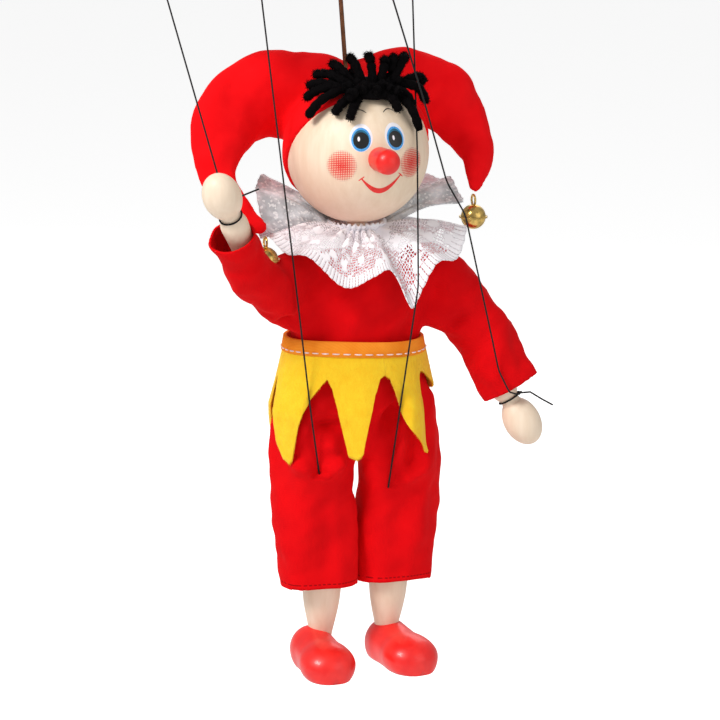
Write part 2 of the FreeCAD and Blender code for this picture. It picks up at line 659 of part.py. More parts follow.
def clear_soft_pieces(rooms):
    """Cloth and hair give way to the strings and the bells that hang against them."""
    for hang in BELLS.values():
        rooms.append(ball(hang - Z * (2 * LOOP_R + BELL_R - 0.4), BELL_ROOM))
    for name in SOFT_PIECES:
        for room in rooms:
            if parts[name].BoundBox.intersect(room.BoundBox):
                parts[name] = parts[name].cut(room)
    for side_name, _ in SIDES:
        for sleeve in ("sleeve_upper_" + side_name, "sleeve_lower_" + side_name):
            for name in ("lace_collar", "collar_net"):
                parts[sleeve] = parts[sleeve].cut(parts[name])
            parts[sleeve] = largest(parts[sleeve])


# ---- Build ------------------------------------------------------------------------------
make_control()
make_head()
make_hair()
make_bells()
make_torso()
bores = [make_arm(*side_row) for side_row in SIDES]
for side_row in SIDES:
    make_leg(*side_row)
make_clothes(bores)
clear_soft_pieces(make_strings())

os.makedirs("parts", exist_ok=True)
for name, shape in parts.items():
    shape.translate(HOOK_BEARING * -1)
    shape.exportStep("parts/%s.step" % name)
    print(name, "%.0f mm3" % shape.Volume, len(shape.Solids), shape.isValid())
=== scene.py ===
"""Jester string puppet: the looks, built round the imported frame.

Shapes are laid out in millimetres from the middle of the head ball, as at() takes them,
and end up in metres in the row frame.  The puppet faces -Y and its left side is +X.
"""
import math
import random

import bmesh
import bpy
import numpy as np
from mathutils import Matrix, Vector, noise


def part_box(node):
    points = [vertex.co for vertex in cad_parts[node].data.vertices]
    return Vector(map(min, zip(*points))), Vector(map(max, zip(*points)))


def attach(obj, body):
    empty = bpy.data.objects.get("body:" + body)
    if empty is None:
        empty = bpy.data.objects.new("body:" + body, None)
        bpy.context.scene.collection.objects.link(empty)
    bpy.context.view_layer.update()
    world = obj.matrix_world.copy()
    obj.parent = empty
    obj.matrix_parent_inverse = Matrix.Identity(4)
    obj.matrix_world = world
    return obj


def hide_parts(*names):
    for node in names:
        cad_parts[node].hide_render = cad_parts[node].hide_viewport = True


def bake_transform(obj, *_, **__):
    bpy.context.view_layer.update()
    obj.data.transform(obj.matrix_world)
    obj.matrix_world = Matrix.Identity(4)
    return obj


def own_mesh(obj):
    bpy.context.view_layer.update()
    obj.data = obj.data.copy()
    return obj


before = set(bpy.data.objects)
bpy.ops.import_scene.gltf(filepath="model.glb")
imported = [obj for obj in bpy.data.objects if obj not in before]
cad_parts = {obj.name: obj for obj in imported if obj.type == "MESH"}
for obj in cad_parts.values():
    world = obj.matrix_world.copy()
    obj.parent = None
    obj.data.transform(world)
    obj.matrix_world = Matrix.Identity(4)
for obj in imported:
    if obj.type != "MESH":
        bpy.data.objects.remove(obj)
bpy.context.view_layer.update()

MM = 0.001
SIDES = (("right", -1), ("left", 1))
HEAD_R = 35.0
low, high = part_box("head_ball")
HEAD = Vector(((low[0] + high[0]) / 2, high[1] - HEAD_R * MM, high[2] - HEAD_R * MM))
X, Y, Z = Vector((1, 0, 0)), Vector((0, 1, 0)), Vector((0, 0, 1))


def at(p):
    return HEAD + Vector(p) * MM


# ---- Camera, light and floor ---------------------------------------------------------
CAMERA_TURN, CAMERA_RISE, CAMERA_FAR = -18.0, 12.0, 1500.0
CAMERA_AIM = (1.3, 0, -104.6)
LENS = 151.06


def make_stage():
    turn, rise = math.radians(CAMERA_TURN), math.radians(CAMERA_RISE)
    back = Vector((math.sin(turn) * math.cos(rise), -math.cos(turn) * math.cos(rise),
                   math.sin(rise)))
    right = Vector((math.cos(turn), math.sin(turn), 0))
    up = back.cross(right)
    camera = bpy.data.objects.new("camera", bpy.data.cameras.new("camera"))
    camera.data.lens = LENS
    camera.data.clip_end = 50
    turned = Matrix((right, up, back)).transposed().to_4x4()
    camera.matrix_world = Matrix.Translation(at(CAMERA_AIM) + back * CAMERA_FAR * MM) @ turned
    bpy.context.collection.objects.link(camera)
    bpy.context.scene.camera = camera

    lamps = (
        ("key", right * -0.75 + up * 0.85 + back * 1.0, 0.45, 17.0),
        ("fill", right * 0.95 + up * 0.2 + back * 0.9, 0.9, 2.6),
        ("rim", right * 0.2 + up * 0.9 - back * 0.9, 0.8, 3.5),
    )
    for name, place, size, power in lamps:
        lamp = bpy.data.objects.new(name, bpy.data.lights.new(name, "AREA"))
        lamp.data.size = size
        lamp.data.energy = power
        lamp.location = at(CAMERA_AIM) + place
        lamp.rotation_euler = (-place).to_track_quat("-Z", "Y").to_euler()
        bpy.context.collection.objects.link(lamp)

    world = bpy.data.worlds.new("studio")
    world.use_nodes = True
    shade = world.node_tree.nodes["Background"]
    shade.inputs[0].default_value = (1, 1, 1, 1)
    shade.inputs[1].default_value = 0.42
    backdrop = world.node_tree.nodes.new("ShaderNodeBackground")
    backdrop.inputs[0].default_value = (1, 1, 1, 1)
    backdrop.inputs[1].default_value = 0.97
    seen = world.node_tree.nodes.new("ShaderNodeLightPath")
    either = world.node_tree.nodes.new("ShaderNodeMixShader")
    links = world.node_tree.links
    links.new(seen.outputs["Is Camera Ray"], either.inputs[0])
    links.new(shade.outputs[0], either.inputs[1])
    links.new(backdrop.outputs[0], either.inputs[2])
    links.new(either.outputs[0], world.node_tree.nodes["World Output"].inputs[0])
    bpy.context.scene.world = world
    bpy.context.scene.view_settings.view_transform = "Standard"

    floor_z = at((0, 0, -330)).z
    mesh = bpy.data.meshes.new("floor")
    corners = [(x * 8, y * 8, floor_z) for x, y in ((-1, -1), (1, -1), (1, 1), (-1, 1))]
    mesh.from_pydata(corners, [], [(0, 1, 2, 3)])
    floor = bpy.data.objects.new("floor", mesh)
    bpy.context.collection.objects.link(floor)
    paper = Nodes("floor_paper")
    seen = paper.add("ShaderNodeLightPath").outputs["Is Camera Ray"]
    glow = paper.maths("MULTIPLY", seen, 0.55)
    floor.data.materials.append(paper.finish(
        rgba((0.95, 0.95, 0.95)), 0.95, Emission_Color=(1, 1, 1, 1), Emission_Strength=glow))


# ---- Materials -----------------------------------------------------------------------
def linear(c):
    return tuple((v / 12.92 if v <= 0.04045 else ((v + 0.055) / 1.055) ** 2.4) for v in c)


class Nodes:
    """A small helper for building one material's node tree."""

    def __init__(self, name):
        self.material = bpy.data.materials.new(name)
        self.material.use_nodes = True
        self.tree = self.material.node_tree
        self.shader = self.tree.nodes["Principled BSDF"]
        self.place = self.add("ShaderNodeTexCoord").outputs["Object"]

    def add(self, kind, **settings):
        node = self.tree.nodes.new(kind)
        for key, value in settings.items():
            setattr(node, key, value)
        return node

    def join(self, source, socket):
        if hasattr(source, "is_output"):
            self.tree.links.new(source, socket)
        else:
            socket.default_value = source

    def stretched(self, scale, source=None):
        node = self.add("ShaderNodeMapping")
        self.join(source or self.place, node.inputs["Vector"])
        node.inputs["Scale"].default_value = scale
        return node.outputs["Vector"]

    def noise(self, scale, vector=None, detail=3.0, rough=0.5, warp=0.0):
        node = self.add("ShaderNodeTexNoise")
        self.join(vector or self.place, node.inputs["Vector"])
        node.inputs["Scale"].default_value = scale
        node.inputs["Detail"].default_value = detail
        node.inputs["Roughness"].default_value = rough
        node.inputs["Distortion"].default_value = warp
        return node.outputs["Fac"]

    def maths(self, kind, a, b=0.0, c=0.0):
        node = self.add("ShaderNodeMath", operation=kind)
        for value, socket in zip((a, b, c), node.inputs):
            self.join(value, socket)
        return node.outputs[0]

    def ramp(self, source, stops):
        node = self.add("ShaderNodeValToRGB")
        self.join(source, node.inputs[0])
        while len(node.color_ramp.elements) < len(stops):
            node.color_ramp.elements.new(0.5)
        for element, (where, colour) in zip(node.color_ramp.elements, stops):
            element.position = where
            element.color = (*linear(colour), 1)
        return node.outputs["Color"]

    def mix(self, share, a, b):
        node = self.add("ShaderNodeMix", data_type="RGBA")
        self.join(share, node.inputs["Factor"])
        self.join(a, node.inputs["A"])
        self.join(b, node.inputs["B"])
        return node.outputs["Result"]

    def bump(self, height, depth, normal=None):
        node = self.add("ShaderNodeBump")
        node.inputs["Strength"].default_value = 1.0
        node.inputs["Distance"].default_value = depth
        self.join(height, node.inputs["Height"])
        if normal is not None:
            self.join(normal, node.inputs["Normal"])
        return node.outputs["Normal"]

    def finish(self, colour, rough=0.6, normal=None, **sockets):
        self.join(colour, self.shader.inputs["Base Color"])
        self.join(rough, self.shader.inputs["Roughness"])
        if normal is not None:
            self.join(normal, self.shader.inputs["Normal"])
        for key, value in sockets.items():
            self.join(value, self.shader.inputs[key.replace("_", " ")])
        return self.material


def rgba(c):
    return (*linear(c), 1)


def material(name, colour, rough=0.6, grain=0.03, size=400.0, **sockets):
    """A plain material with slight variation in colour and a fine bump."""
    n = Nodes(name)
    dark = tuple(v * (1 - grain) for v in colour)
    light = tuple(min(1, v * (1 + grain)) for v in colour)
    mottle = n.noise(size)
    base = n.ramp(mottle, ((0.3, dark), (0.7, light)))
    return n.finish(base, rough, n.bump(mottle, 0.00003), **sockets)


def wave(n, vector, pitch, direction="X", warp=0.0):
    node = n.add("ShaderNodeTexWave", wave_type="BANDS", bands_direction=direction)
    n.join(vector, node.inputs["Vector"])
    node.inputs["Scale"].default_value = math.pi / (10 * pitch * MM)
    node.inputs["Distortion"].default_value = warp
    node.inputs["Detail"].default_value = 1.0
    return node.outputs["Fac"]


def cotton(name, colour, shade, pitch=0.55, sheen=0.08, seam=None):
    """Twill cotton: slanted ribs, crossing threads, slightly uneven dye, and perhaps a level
    line of stitches."""
    n = Nodes(name)
    ribs = wave(n, n.stretched((1, 1, 1)), pitch, "DIAGONAL", 0.6)
    weft = wave(n, n.stretched((1, -1, -0.6)), pitch * 0.8, "DIAGONAL", 0.4)
    threads = n.maths("ADD", ribs, n.maths("MULTIPLY", weft, 0.5))
    uneven = n.noise(90, detail=4)
    fluff = n.noise(2200, detail=2)
    tone = n.maths("ADD", n.maths("MULTIPLY", threads, 0.1), n.maths("MULTIPLY", uneven, 0.85))
    base = n.ramp(tone, ((0.25, shade), (0.75, colour)))
    height = n.maths("ADD", threads, n.maths("MULTIPLY", fluff, 0.8))
    if seam:
        node = n.add("ShaderNodeSeparateXYZ")
        n.join(n.place, node.inputs[0])
        gap = n.maths("ABSOLUTE", n.maths("SUBTRACT", node.outputs["Z"], seam))
        aside = n.maths("ADD", node.outputs["X"], node.outputs["Y"])
        turns = n.maths("SINE", n.maths("MULTIPLY", aside, 2900.0))
        stitch = n.maths("MULTIPLY", n.maths("LESS_THAN", gap, 0.0003),
                         n.maths("GREATER_THAN", turns, -0.4))
        base = n.mix(n.maths("MULTIPLY", stitch, 0.75), base, rgba((0.45, 0.0, 0.02)))
    return n.finish(base, 0.9, n.bump(height, 0.00002), Specular_IOR_Level=0.12, Sheen_Weight=sheen,
                    Sheen_Roughness=0.4, Sheen_Tint=(*linear(colour), 1))


def felt(name, colour, shade):
    n = Nodes(name)
    fibres = n.noise(1500, n.stretched((1, 1, 0.45)), detail=5, rough=0.7, warp=1.5)
    clumps = n.noise(220, detail=4)
    tone = n.maths("ADD", n.maths("MULTIPLY", fibres, 0.6), n.maths("MULTIPLY", clumps, 0.4))
    height = n.maths("ADD", fibres, n.maths("MULTIPLY", clumps, 0.7))
    return n.finish(n.ramp(tone, ((0.32, shade), (0.66, colour))), 0.95, n.bump(height, 0.0003),
                    Specular_IOR_Level=0.1, Sheen_Weight=0.12, Sheen_Roughness=0.6)


def wood(name, colour, shade, painted_shade_tint=None):
    """Pale turned linden: fine upright grain, and painted shade with a reddish tint low on the ball,
    strongest towards its -X side, standing in for shade and red light reflected from the cloth.
    """
    n = Nodes(name)
    grain = n.noise(300, n.stretched((1, 1, 0.05)), detail=4, rough=0.6)
    bands = n.noise(60, n.stretched((1, 1, 0.12)), detail=3)
    tone = n.maths("ADD", n.maths("MULTIPLY", grain, 0.5), n.maths("MULTIPLY", bands, 0.5))
    base = n.ramp(tone, ((0.35, shade), (0.62, colour)))
    # Painted shade: a darker, pinker tint that grows towards the bottom of the ball and its -X side, in
    # place of shade and reflected red light.
    if painted_shade_tint:
        node = n.add("ShaderNodeSeparateXYZ")
        n.join(n.place, node.inputs[0])
        drop = n.maths("SUBTRACT", HEAD.z - 0.012, node.outputs["Z"])
        aside = n.maths("MULTIPLY", n.maths("SUBTRACT", HEAD.x, node.outputs["X"]), 0.45)
        share = n.maths("MULTIPLY", n.maths("ADD", drop, aside), 22.0)
        share = n.maths("MINIMUM", n.maths("MAXIMUM", share, 0.0), 0.75)
        base = n.mix(share, base, rgba(painted_shade_tint))
    pores = n.noise(2600, n.stretched((1, 1, 0.1)), detail=2)
    return n.finish(base, 0.5, n.bump(pores, 0.00002), Coat_Weight=0.12, Coat_Roughness=0.35)


def paint(name, colour, shade, rough=0.28, coat=0.5):
    """Glossy paint over carved wood: tool marks show faintly through it."""
    n = Nodes(name)
    flow = n.noise(120, detail=3)
    marks = n.noise(420, n.stretched((1, 0.3, 1)), detail=2)
    return n.finish(n.ramp(flow, ((0.35, shade), (0.65, colour))), rough, n.bump(marks, 0.00008),
                    Coat_Weight=coat, Coat_Roughness=0.12)


def metal(name, colour, rough=0.2):
    n = Nodes(name)
    tarnish = n.noise(350, detail=4)
    dark = tuple(v * 0.72 for v in colour)
    uneven = n.maths("ADD", n.maths("MULTIPLY", tarnish, 0.25), rough - 0.08)
    return n.finish(n.ramp(tarnish, ((0.35, dark), (0.6, colour))), uneven,
                    n.bump(n.noise(900), 0.00001), Metallic=1.0)


def lace(name, thread, ground):
    """Net lace read from the cloth's own map: u runs round the collar in metres, v from
    neck to edge as a share.  Fine net, flower sprays and a ribbed border."""
    n = Nodes(name)
    uv = n.add("ShaderNodeUVMap", uv_map="cloth").outputs["UV"]
    part = n.add("ShaderNodeSeparateXYZ")
    n.join(uv, part.inputs[0])
    u, v = part.outputs["X"], part.outputs["Y"]
    flat = n.add("ShaderNodeCombineXYZ")
    n.join(u, flat.inputs["X"])
    n.join(n.maths("MULTIPLY", v, 0.036), flat.inputs["Y"])
    spread = flat.outputs[0]

    def cells(scale, feature, vector=spread, jitter=1.0):
        node = n.add("ShaderNodeTexVoronoi", feature=feature, voronoi_dimensions="2D")
        n.join(vector, node.inputs["Vector"])
        node.inputs["Scale"].default_value = scale
        node.inputs["Randomness"].default_value = jitter
        return node.outputs["Distance"]

    net = n.maths("LESS_THAN", cells(820, "DISTANCE_TO_EDGE", jitter=0.35), 0.13)
    petals = n.noise(170, spread, detail=2, warp=2.5)
    flower = n.maths("ADD", cells(105, "F1"), n.maths("MULTIPLY", petals, 0.55))
    flower = n.maths("LESS_THAN", flower, 0.53)
    outline = n.maths("LESS_THAN", n.maths("ABSOLUTE", n.maths("SUBTRACT", petals, 0.5)), 0.03)
    ribs = n.maths("SINE", n.maths("MULTIPLY", u, 2 * math.pi / 0.0017))
    border = n.maths("GREATER_THAN", v, 0.865)
    frill = n.maths("LESS_THAN", v, 0.16)
    solid = n.maths("MAXIMUM", n.maths("MAXIMUM", flower, outline), n.maths("MAXIMUM", border, frill))
    holes = n.maths("MULTIPLY", border, n.maths("LESS_THAN", ribs, -0.75))
    solid = n.maths("SUBTRACT", solid, n.maths("MULTIPLY", holes, 0.8))
    dense = n.maths("MULTIPLY", n.maths("SUBTRACT", 0.48, v), 1.7)
    alpha = n.maths("MAXIMUM", n.maths("MAXIMUM", solid, n.maths("MULTIPLY", net, 0.85)), dense)
    alpha = n.maths("MINIMUM", n.maths("MAXIMUM", alpha, 0.03), 1.0)
    ribbed = n.maths("MULTIPLY", n.maths("MULTIPLY", border, ribs), 0.6)
    height = n.maths("ADD", n.maths("MULTIPLY", solid, 0.8), ribbed)
    colour = n.mix(solid, rgba(ground), rgba(thread))
    return n.finish(colour, 0.7, n.bump(height, 0.00012), Alpha=alpha, Sheen_Weight=0.2)


def glitter(name, colour):
    n = Nodes(name)
    sparks = n.add("ShaderNodeTexVoronoi", feature="F1")
    n.join(n.place, sparks.inputs["Vector"])
    sparks.inputs["Scale"].default_value = 900
    # White flecks put into the colour are painted glints, standing in for the sparkle of the silver
    # threads.
    painted_glints = n.maths("GREATER_THAN", sparks.outputs["Color"], 0.72)
    patches = n.noise(110, detail=3)
    base = n.ramp(patches, ((0.4, tuple(v * 0.72 for v in colour)), (0.62, colour)))
    base = n.mix(n.maths("MULTIPLY", painted_glints, 0.7), base, rgba((1, 1, 1)))
    return n.finish(base, 0.4, n.bump(sparks.outputs["Distance"], 0.0002),
                    Alpha=n.maths("ADD", n.maths("MULTIPLY", patches, 0.5), 0.45))


def halftone(name, colour, reach):
    """A cheek printed as a fine grid of red squares, denser towards its middle."""
    n = Nodes(name)
    uv = n.add("ShaderNodeUVMap", uv_map="cloth").outputs["UV"]
    part = n.add("ShaderNodeSeparateXYZ")
    n.join(uv, part.inputs[0])
    u, v = part.outputs["X"], part.outputs["Y"]
    distance = n.maths("SQRT", n.maths("ADD", n.maths("MULTIPLY", u, u), n.maths("MULTIPLY", v, v)))
    pitch = 0.00088
    lines = []
    for axis in (u, v):
        s = n.maths("SINE", n.maths("MULTIPLY", axis, 2 * math.pi / pitch))
        lines.append(n.maths("ADD", n.maths("MULTIPLY", s, 0.5), 0.5))
    grid = n.maths("MAXIMUM", lines[0], lines[1])
    share = n.maths("DIVIDE", distance, reach)
    limit = n.maths("ADD", n.maths("MULTIPLY", share, 0.95), 0.02)
    ink = n.maths("MULTIPLY", n.maths("SUBTRACT", grid, limit), 4.0)
    ink = n.maths("MINIMUM", n.maths("MAXIMUM", ink, 0.0), 0.92)
    fade = n.maths("MULTIPLY", n.maths("SUBTRACT", 1.0, share), 6.0)
    ink = n.maths("MULTIPLY", ink, n.maths("MINIMUM", n.maths("MAXIMUM", fade, 0.0), 1.0))
    return n.finish(rgba(colour), 0.5, Alpha=ink)


RED = ((0.9, 0.01, 0.04), (0.84, 0.0, 0.035))
M = {}


def make_materials():
    M["hat"] = cotton("hat_cotton", (0.97, 0.05, 0.08), (0.92, 0.01, 0.05))
    M["jacket"] = cotton("jacket_cotton", *RED)
    M["trousers"] = cotton("trouser_cotton", (0.92, 0.02, 0.05), (0.86, 0.0, 0.04),
                           seam=HEAD.z - 0.2156)
    M["felt"] = felt("yellow_felt", (1.0, 0.84, 0.17), (0.98, 0.74, 0.08))
    M["band"] = cotton("orange_twill", (1.0, 0.62, 0.2), (0.93, 0.5, 0.1), pitch=0.9)
    # The head's last colour is the painted shade tint, darker and pinker low on the ball.
    M["head"] = wood("head_wood", (0.965, 0.885, 0.785), (0.92, 0.82, 0.7), (0.93, 0.7, 0.6))
    M["limb"] = wood("limb_wood", (0.965, 0.885, 0.79), (0.92, 0.82, 0.71))
    M["plain"] = wood("control_wood", (0.78, 0.6, 0.4), (0.66, 0.47, 0.29))
    M["shoe"] = paint("shoe_paint", (0.98, 0.15, 0.12), (0.93, 0.09, 0.08), 0.4, 0.2)
    M["nose"] = paint("nose_paint", (0.97, 0.13, 0.09), (0.9, 0.07, 0.05), 0.42, 0.15)
    M["brass"] = metal("bell_brass", (0.93, 0.78, 0.45), 0.2)
    M["steel"] = metal("screw_steel", (0.72, 0.71, 0.7), 0.3)
    M["wire"] = metal("brown_wire", (0.5, 0.33, 0.24), 0.4)
    M["lace"] = lace("white_lace", (1.0, 0.985, 1.0), (0.98, 0.95, 0.97))
    M["net"] = glitter("silver_net", (0.93, 0.94, 0.96))
    M["hair"] = material("black_chenille", (0.02, 0.012, 0.016), 0.97, 0.4, 900,
                         Specular_IOR_Level=0.1)
    M["string"] = material("black_string", (0.035, 0.03, 0.035), 0.8, 0.3, 1500)
    M["ink_black"] = material("black_paint", (0.07, 0.08, 0.085), 0.35, 0.1)
    M["ink_blue"] = iris_blue()
    M["ink_teal"] = material("teal_paint", (0.1, 0.38, 0.5), 0.4, 0.15)
    M["ink_white"] = material("white_paint", (0.95, 0.93, 0.95), 0.45, 0.02)
    M["ink_red"] = material("red_paint", (0.93, 0.13, 0.1), 0.4, 0.05)
    M["stitch"] = material("stitch_thread", (1.0, 0.85, 0.82), 0.8, 0.1, 1500)


def iris_blue():
    n = Nodes("blue_paint")
    streaks = n.noise(1400, detail=3)
    return n.finish(n.ramp(streaks, ((0.3, (0.2, 0.55, 0.84)), (0.7, (0.36, 0.7, 0.95)))), 0.4,
                    n.bump(streaks, 0.00001))


# ---- Meshes --------------------------------------------------------------------------
def build(name, verts, faces, mat, body=None, slot=None, replaces=(), uv=None, normals=None):
    """A smooth mesh piece; verts are in metres in the row frame."""
    mesh = bpy.data.meshes.new(name)
    mesh.from_pydata([tuple(v) for v in verts], [], [tuple(f) for f in faces])
    mesh.polygons.foreach_set("use_smooth", [True] * len(mesh.polygons))
    if uv is not None:
        layer = mesh.uv_layers.new(name="cloth")
        flat = [c for loop in mesh.loops for c in uv[loop.vertex_index]]
        layer.data.foreach_set("uv", flat)
    mesh.validate()
    if normals is not None:
        mesh.normals_split_custom_set_from_vertices([tuple(v) for v in normals])
    mesh.materials.append(mat)
    piece = bpy.data.objects.new(name, mesh)
    bpy.context.collection.objects.link(piece)
    if replaces:
        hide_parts(*replaces)
    if body:
        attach(piece, body)
    return piece


def grid_faces(rows, columns, close_columns=False, close_rows=False):
    faces = []
    for i in range(rows if close_rows else rows - 1):
        for j in range(columns if close_columns else columns - 1):
            a, b = i * columns, ((i + 1) % rows) * columns
            k = (j + 1) % columns
            faces.append((a + j, a + k, b + k, b + j))
    return faces


def frame_along(direction, side=None):
    w = Vector(direction).normalized()
    u = Vector(side if side else (Z if abs(w.z) < 0.9 else X))
    u = (u - w * u.dot(w)).normalized()
    return u, w.cross(u), w


def smooth_path(points, per_span):
    """Points on a Catmull-Rom curve through a list of vectors (any length of tuple)."""
    p = np.array(points, float)
    p = np.vstack([2 * p[0] - p[1], p, 2 * p[-1] - p[-2]])
    out = []
    for i in range(1, len(p) - 2):
        for k in range(per_span):
            t = k / per_span
            a, b, c, d = p[i - 1], p[i], p[i + 1], p[i + 2]
            out.append(0.5 * (2 * b + (c - a) * t + (2 * a - 5 * b + 4 * c - d) * t ** 2
                              + (3 * b - a - 3 * c + d) * t ** 3))
    out.append(p[-2])
    return np.array(out)


def tube(path, radii, segments=12, flatten=1.0, side=None, caps=True):
    """A round or flattened tube in millimetres along path; its narrow way lies across side."""
    verts = []
    for i, p in enumerate(path):
        along = Vector(path[min(i + 1, len(path) - 1)]) - Vector(path[max(i - 1, 0)])
        u, v, _ = frame_along(along, side)
        for k in range(segments):
            a = 2 * math.pi * k / segments
            verts.append(Vector(p) + (u * math.cos(a) * flatten + v * math.sin(a)) * radii[i])
    faces = grid_faces(len(path), segments, close_columns=True)
    if caps:
        for row in (0, len(path) - 1):
            centre = len(verts)
            verts.append(Vector(path[row]))
            for k in range(segments):
                pair = (row * segments + k, row * segments + (k + 1) % segments)
                faces.append((*(pair if row else pair[::-1]), centre))
    return verts, faces


def rings(rows, segments=56):
    """A closed solid through level ellipses: x, y, z, rx, ry."""
    verts = []
    for x, y, z, rx, ry in rows:
        for k in range(segments):
            a = 2 * math.pi * k / segments
            verts.append(Vector((x + rx * math.cos(a), y + ry * math.sin(a), z)))
    faces = grid_faces(len(rows), segments, close_columns=True)
    for row in (0, len(rows) - 1):
        centre = len(verts)
        x, y, z = rows[row][:3]
        verts.append(Vector((x, y, z)))
        for k in range(segments):
            faces.append((row * segments + k, row * segments + (k + 1) % segments, centre))
    return verts, faces


def ellipsoid(centre, axes, segments=32):
    """A closed ball with its own three half axes, given as vectors."""
    a, b, c = (Vector(v) for v in axes)
    centre = Vector(centre)
    verts = [centre + c]
    for i in range(1, segments // 2):
        lat = math.pi / 2 - math.pi * i / (segments // 2)
        for k in range(segments):
            lon = 2 * math.pi * k / segments
            level = (a * math.cos(lon) + b * math.sin(lon)) * math.cos(lat)
            verts.append(centre + level + c * math.sin(lat))
    verts.append(centre - c)
    faces = [(0, 1 + k, 1 + (k + 1) % segments) for k in range(segments)]
    for i in range(segments // 2 - 2):
        for k in range(segments):
            p, q = 1 + i * segments, 1 + (i + 1) * segments
            faces.append((p + k, q + k, q + (k + 1) % segments, p + (k + 1) % segments))
    last = len(verts) - 1
    base = last - segments
    faces += [(last, base + (k + 1) % segments, base + k) for k in range(segments)]
    return verts, faces


def combined(shapes):
    verts, faces = [], []
    for more_verts, more_faces in shapes:
        start = len(verts)
        verts += list(more_verts)
        faces += [tuple(start + i for i in f) for f in more_faces]
    return verts, faces


def remeshed(shapes, voxel, relax=8):
    """One closed skin round several overlapping closed solids, in millimetres."""
    verts, faces = combined(shapes)
    mesh = bpy.data.meshes.new("scratch")
    mesh.from_pydata([tuple(v) for v in verts], [], faces)
    holder = bpy.data.objects.new("scratch", mesh)
    bpy.context.collection.objects.link(holder)
    clean = bmesh.new()
    clean.from_mesh(mesh)
    bmesh.ops.recalc_face_normals(clean, faces=clean.faces)
    clean.to_mesh(mesh)
    clean.free()
    remesh = holder.modifiers.new("remesh", "REMESH")
    remesh.mode = "VOXEL"
    remesh.voxel_size = voxel
    soften = holder.modifiers.new("soften", "SMOOTH")
    soften.factor = 0.5
    soften.iterations = relax
    bpy.context.view_layer.update()
    done = holder.evaluated_get(bpy.context.evaluated_depsgraph_get()).to_mesh()
    points = np.array([v.co for v in done.vertices])
    polygons = [tuple(p.vertices) for p in done.polygons]
    bpy.data.objects.remove(holder)
    return points, polygons


def normals_of(points, polygons):
    mesh = bpy.data.meshes.new("scratch")
    mesh.from_pydata(points.tolist(), [], polygons)
    mesh.update()
    found = np.array([v.normal for v in mesh.vertices])
    bpy.data.meshes.remove(mesh)
    return found


def relaxed(points, polygons, rounds):
    """Laplacian smoothing of the points."""
    a = np.array([(f[i], f[(i + 1) % len(f)]) for f in polygons for i in range(len(f))])
    pairs = np.concatenate([a, a[:, ::-1]])
    count = np.bincount(pairs[:, 0], minlength=len(points))[:, None]
    for _ in range(rounds):
        total = np.zeros_like(points)
        np.add.at(total, pairs[:, 0], points[pairs[:, 1]])
        points = points + 0.5 * (total / np.maximum(count, 1) - points)
    return points


def trimmed(points, polygons, plane_at, plane_normal):
    """Cut away what lies past a plane, leaving a clean edge."""
    shape = bmesh.new()
    vs = [shape.verts.new(p) for p in points]
    for f in polygons:
        shape.faces.new([vs[i] for i in f])
    bmesh.ops.bisect_plane(shape, geom=shape.verts[:] + shape.edges[:] + shape.faces[:],
                           plane_co=plane_at, plane_no=plane_normal, clear_outer=True)
    shape.verts.ensure_lookup_table()
    shape.verts.index_update()
    points = np.array([v.co for v in shape.verts])
    polygons = [tuple(v.index for v in f.verts) for f in shape.faces]
    shape.free()
    return points, polygons


def thickened(points, polygons, wall):
    """Give an open skin an inside and turned edges, as cloth has."""
    inner = points - normals_of(points, polygons) * wall
    count = len(points)
    edges = {}
    for f in polygons:
        for i in range(len(f)):
            edge = (f[i], f[(i + 1) % len(f)])
            edges[edge] = edges.get(edge, 0) + 1
    rim = [(a, b) for a, b in edges if (b, a) not in edges]
    faces = list(polygons) + [tuple(count + i for i in f[::-1]) for f in polygons]
    faces += [(b, a, count + a, count + b) for a, b in rim]
    return np.vstack([points, inner]), faces


def folds(points, normals, amount, size, along, stretch, seed):
    """Push a skin in and out in soft ridges that run along a direction."""
    u, v, w = frame_along(along)
    out = np.empty(len(points))
    for i, p in enumerate(points):
        q = Vector(p)
        out[i] = noise.noise(
            Vector((q.dot(u) / size + seed, q.dot(v) / size, q.dot(w) / (size * stretch))))
    return points + normals * (out * amount)[:, None]


CREASE_GAIN = 2.4


def creases(points, normals, lines):
    """Soft ridges and hollows along straight lines, each faded out towards its ends."""
    moved = np.zeros(len(points))
    for start, end, width, height in lines:
        start, end = np.array(start, float), np.array(end, float)
        along = end - start
        share = np.clip((points - start) @ along / (along @ along), 0, 1)
        gap = np.linalg.norm(points - (start + share[:, None] * along), axis=1)
        fade = np.sin(np.pi * (0.15 + 0.7 * share)) * np.exp(-(gap / width) ** 2)
        moved += CREASE_GAIN * height * fade
    return points + normals * moved[:, None]


def behind_strings(points, gap):
    """Press a skin in behind the two strings that hang down in front of the body."""
    points = points.copy()
    for name in ("knee_right", "knee_left"):
        route = np.array(ROUTES[name][::-1], float)
        x = np.interp(points[:, 2], route[:, 2], route[:, 0])
        y = np.interp(points[:, 2], route[:, 2], route[:, 1])
        close = np.clip(1 - np.abs(points[:, 0] - x) / 7, 0, 1)
        facing = (points[:, 2] > route[0, 2]) & (points[:, 1] < 0)
        close = close * close * (3 - 2 * close) * facing
        points[:, 1] += np.maximum(y + gap - points[:, 1], 0) * close
    return points


def share_out(points, polygons, normals, choose, specs, mat):
    """Split a skin into pieces by face; shared edges keep one set of normals."""
    groups = {}
    for f in polygons:
        groups.setdefault(choose(points[list(f)].mean(axis=0)), []).append(f)
    made = {}
    for key, faces in groups.items():
        used = sorted({i for f in faces for i in f})
        index = {v: i for i, v in enumerate(used)}
        verts = [at(points[i]) for i in used]
        name, slot, replaced = specs[key]
        made[key] = build(name, verts, [tuple(index[i] for i in f) for f in faces], mat,
                          slot=slot, replaces=replaced, normals=[normals[i] for i in used])
    return made


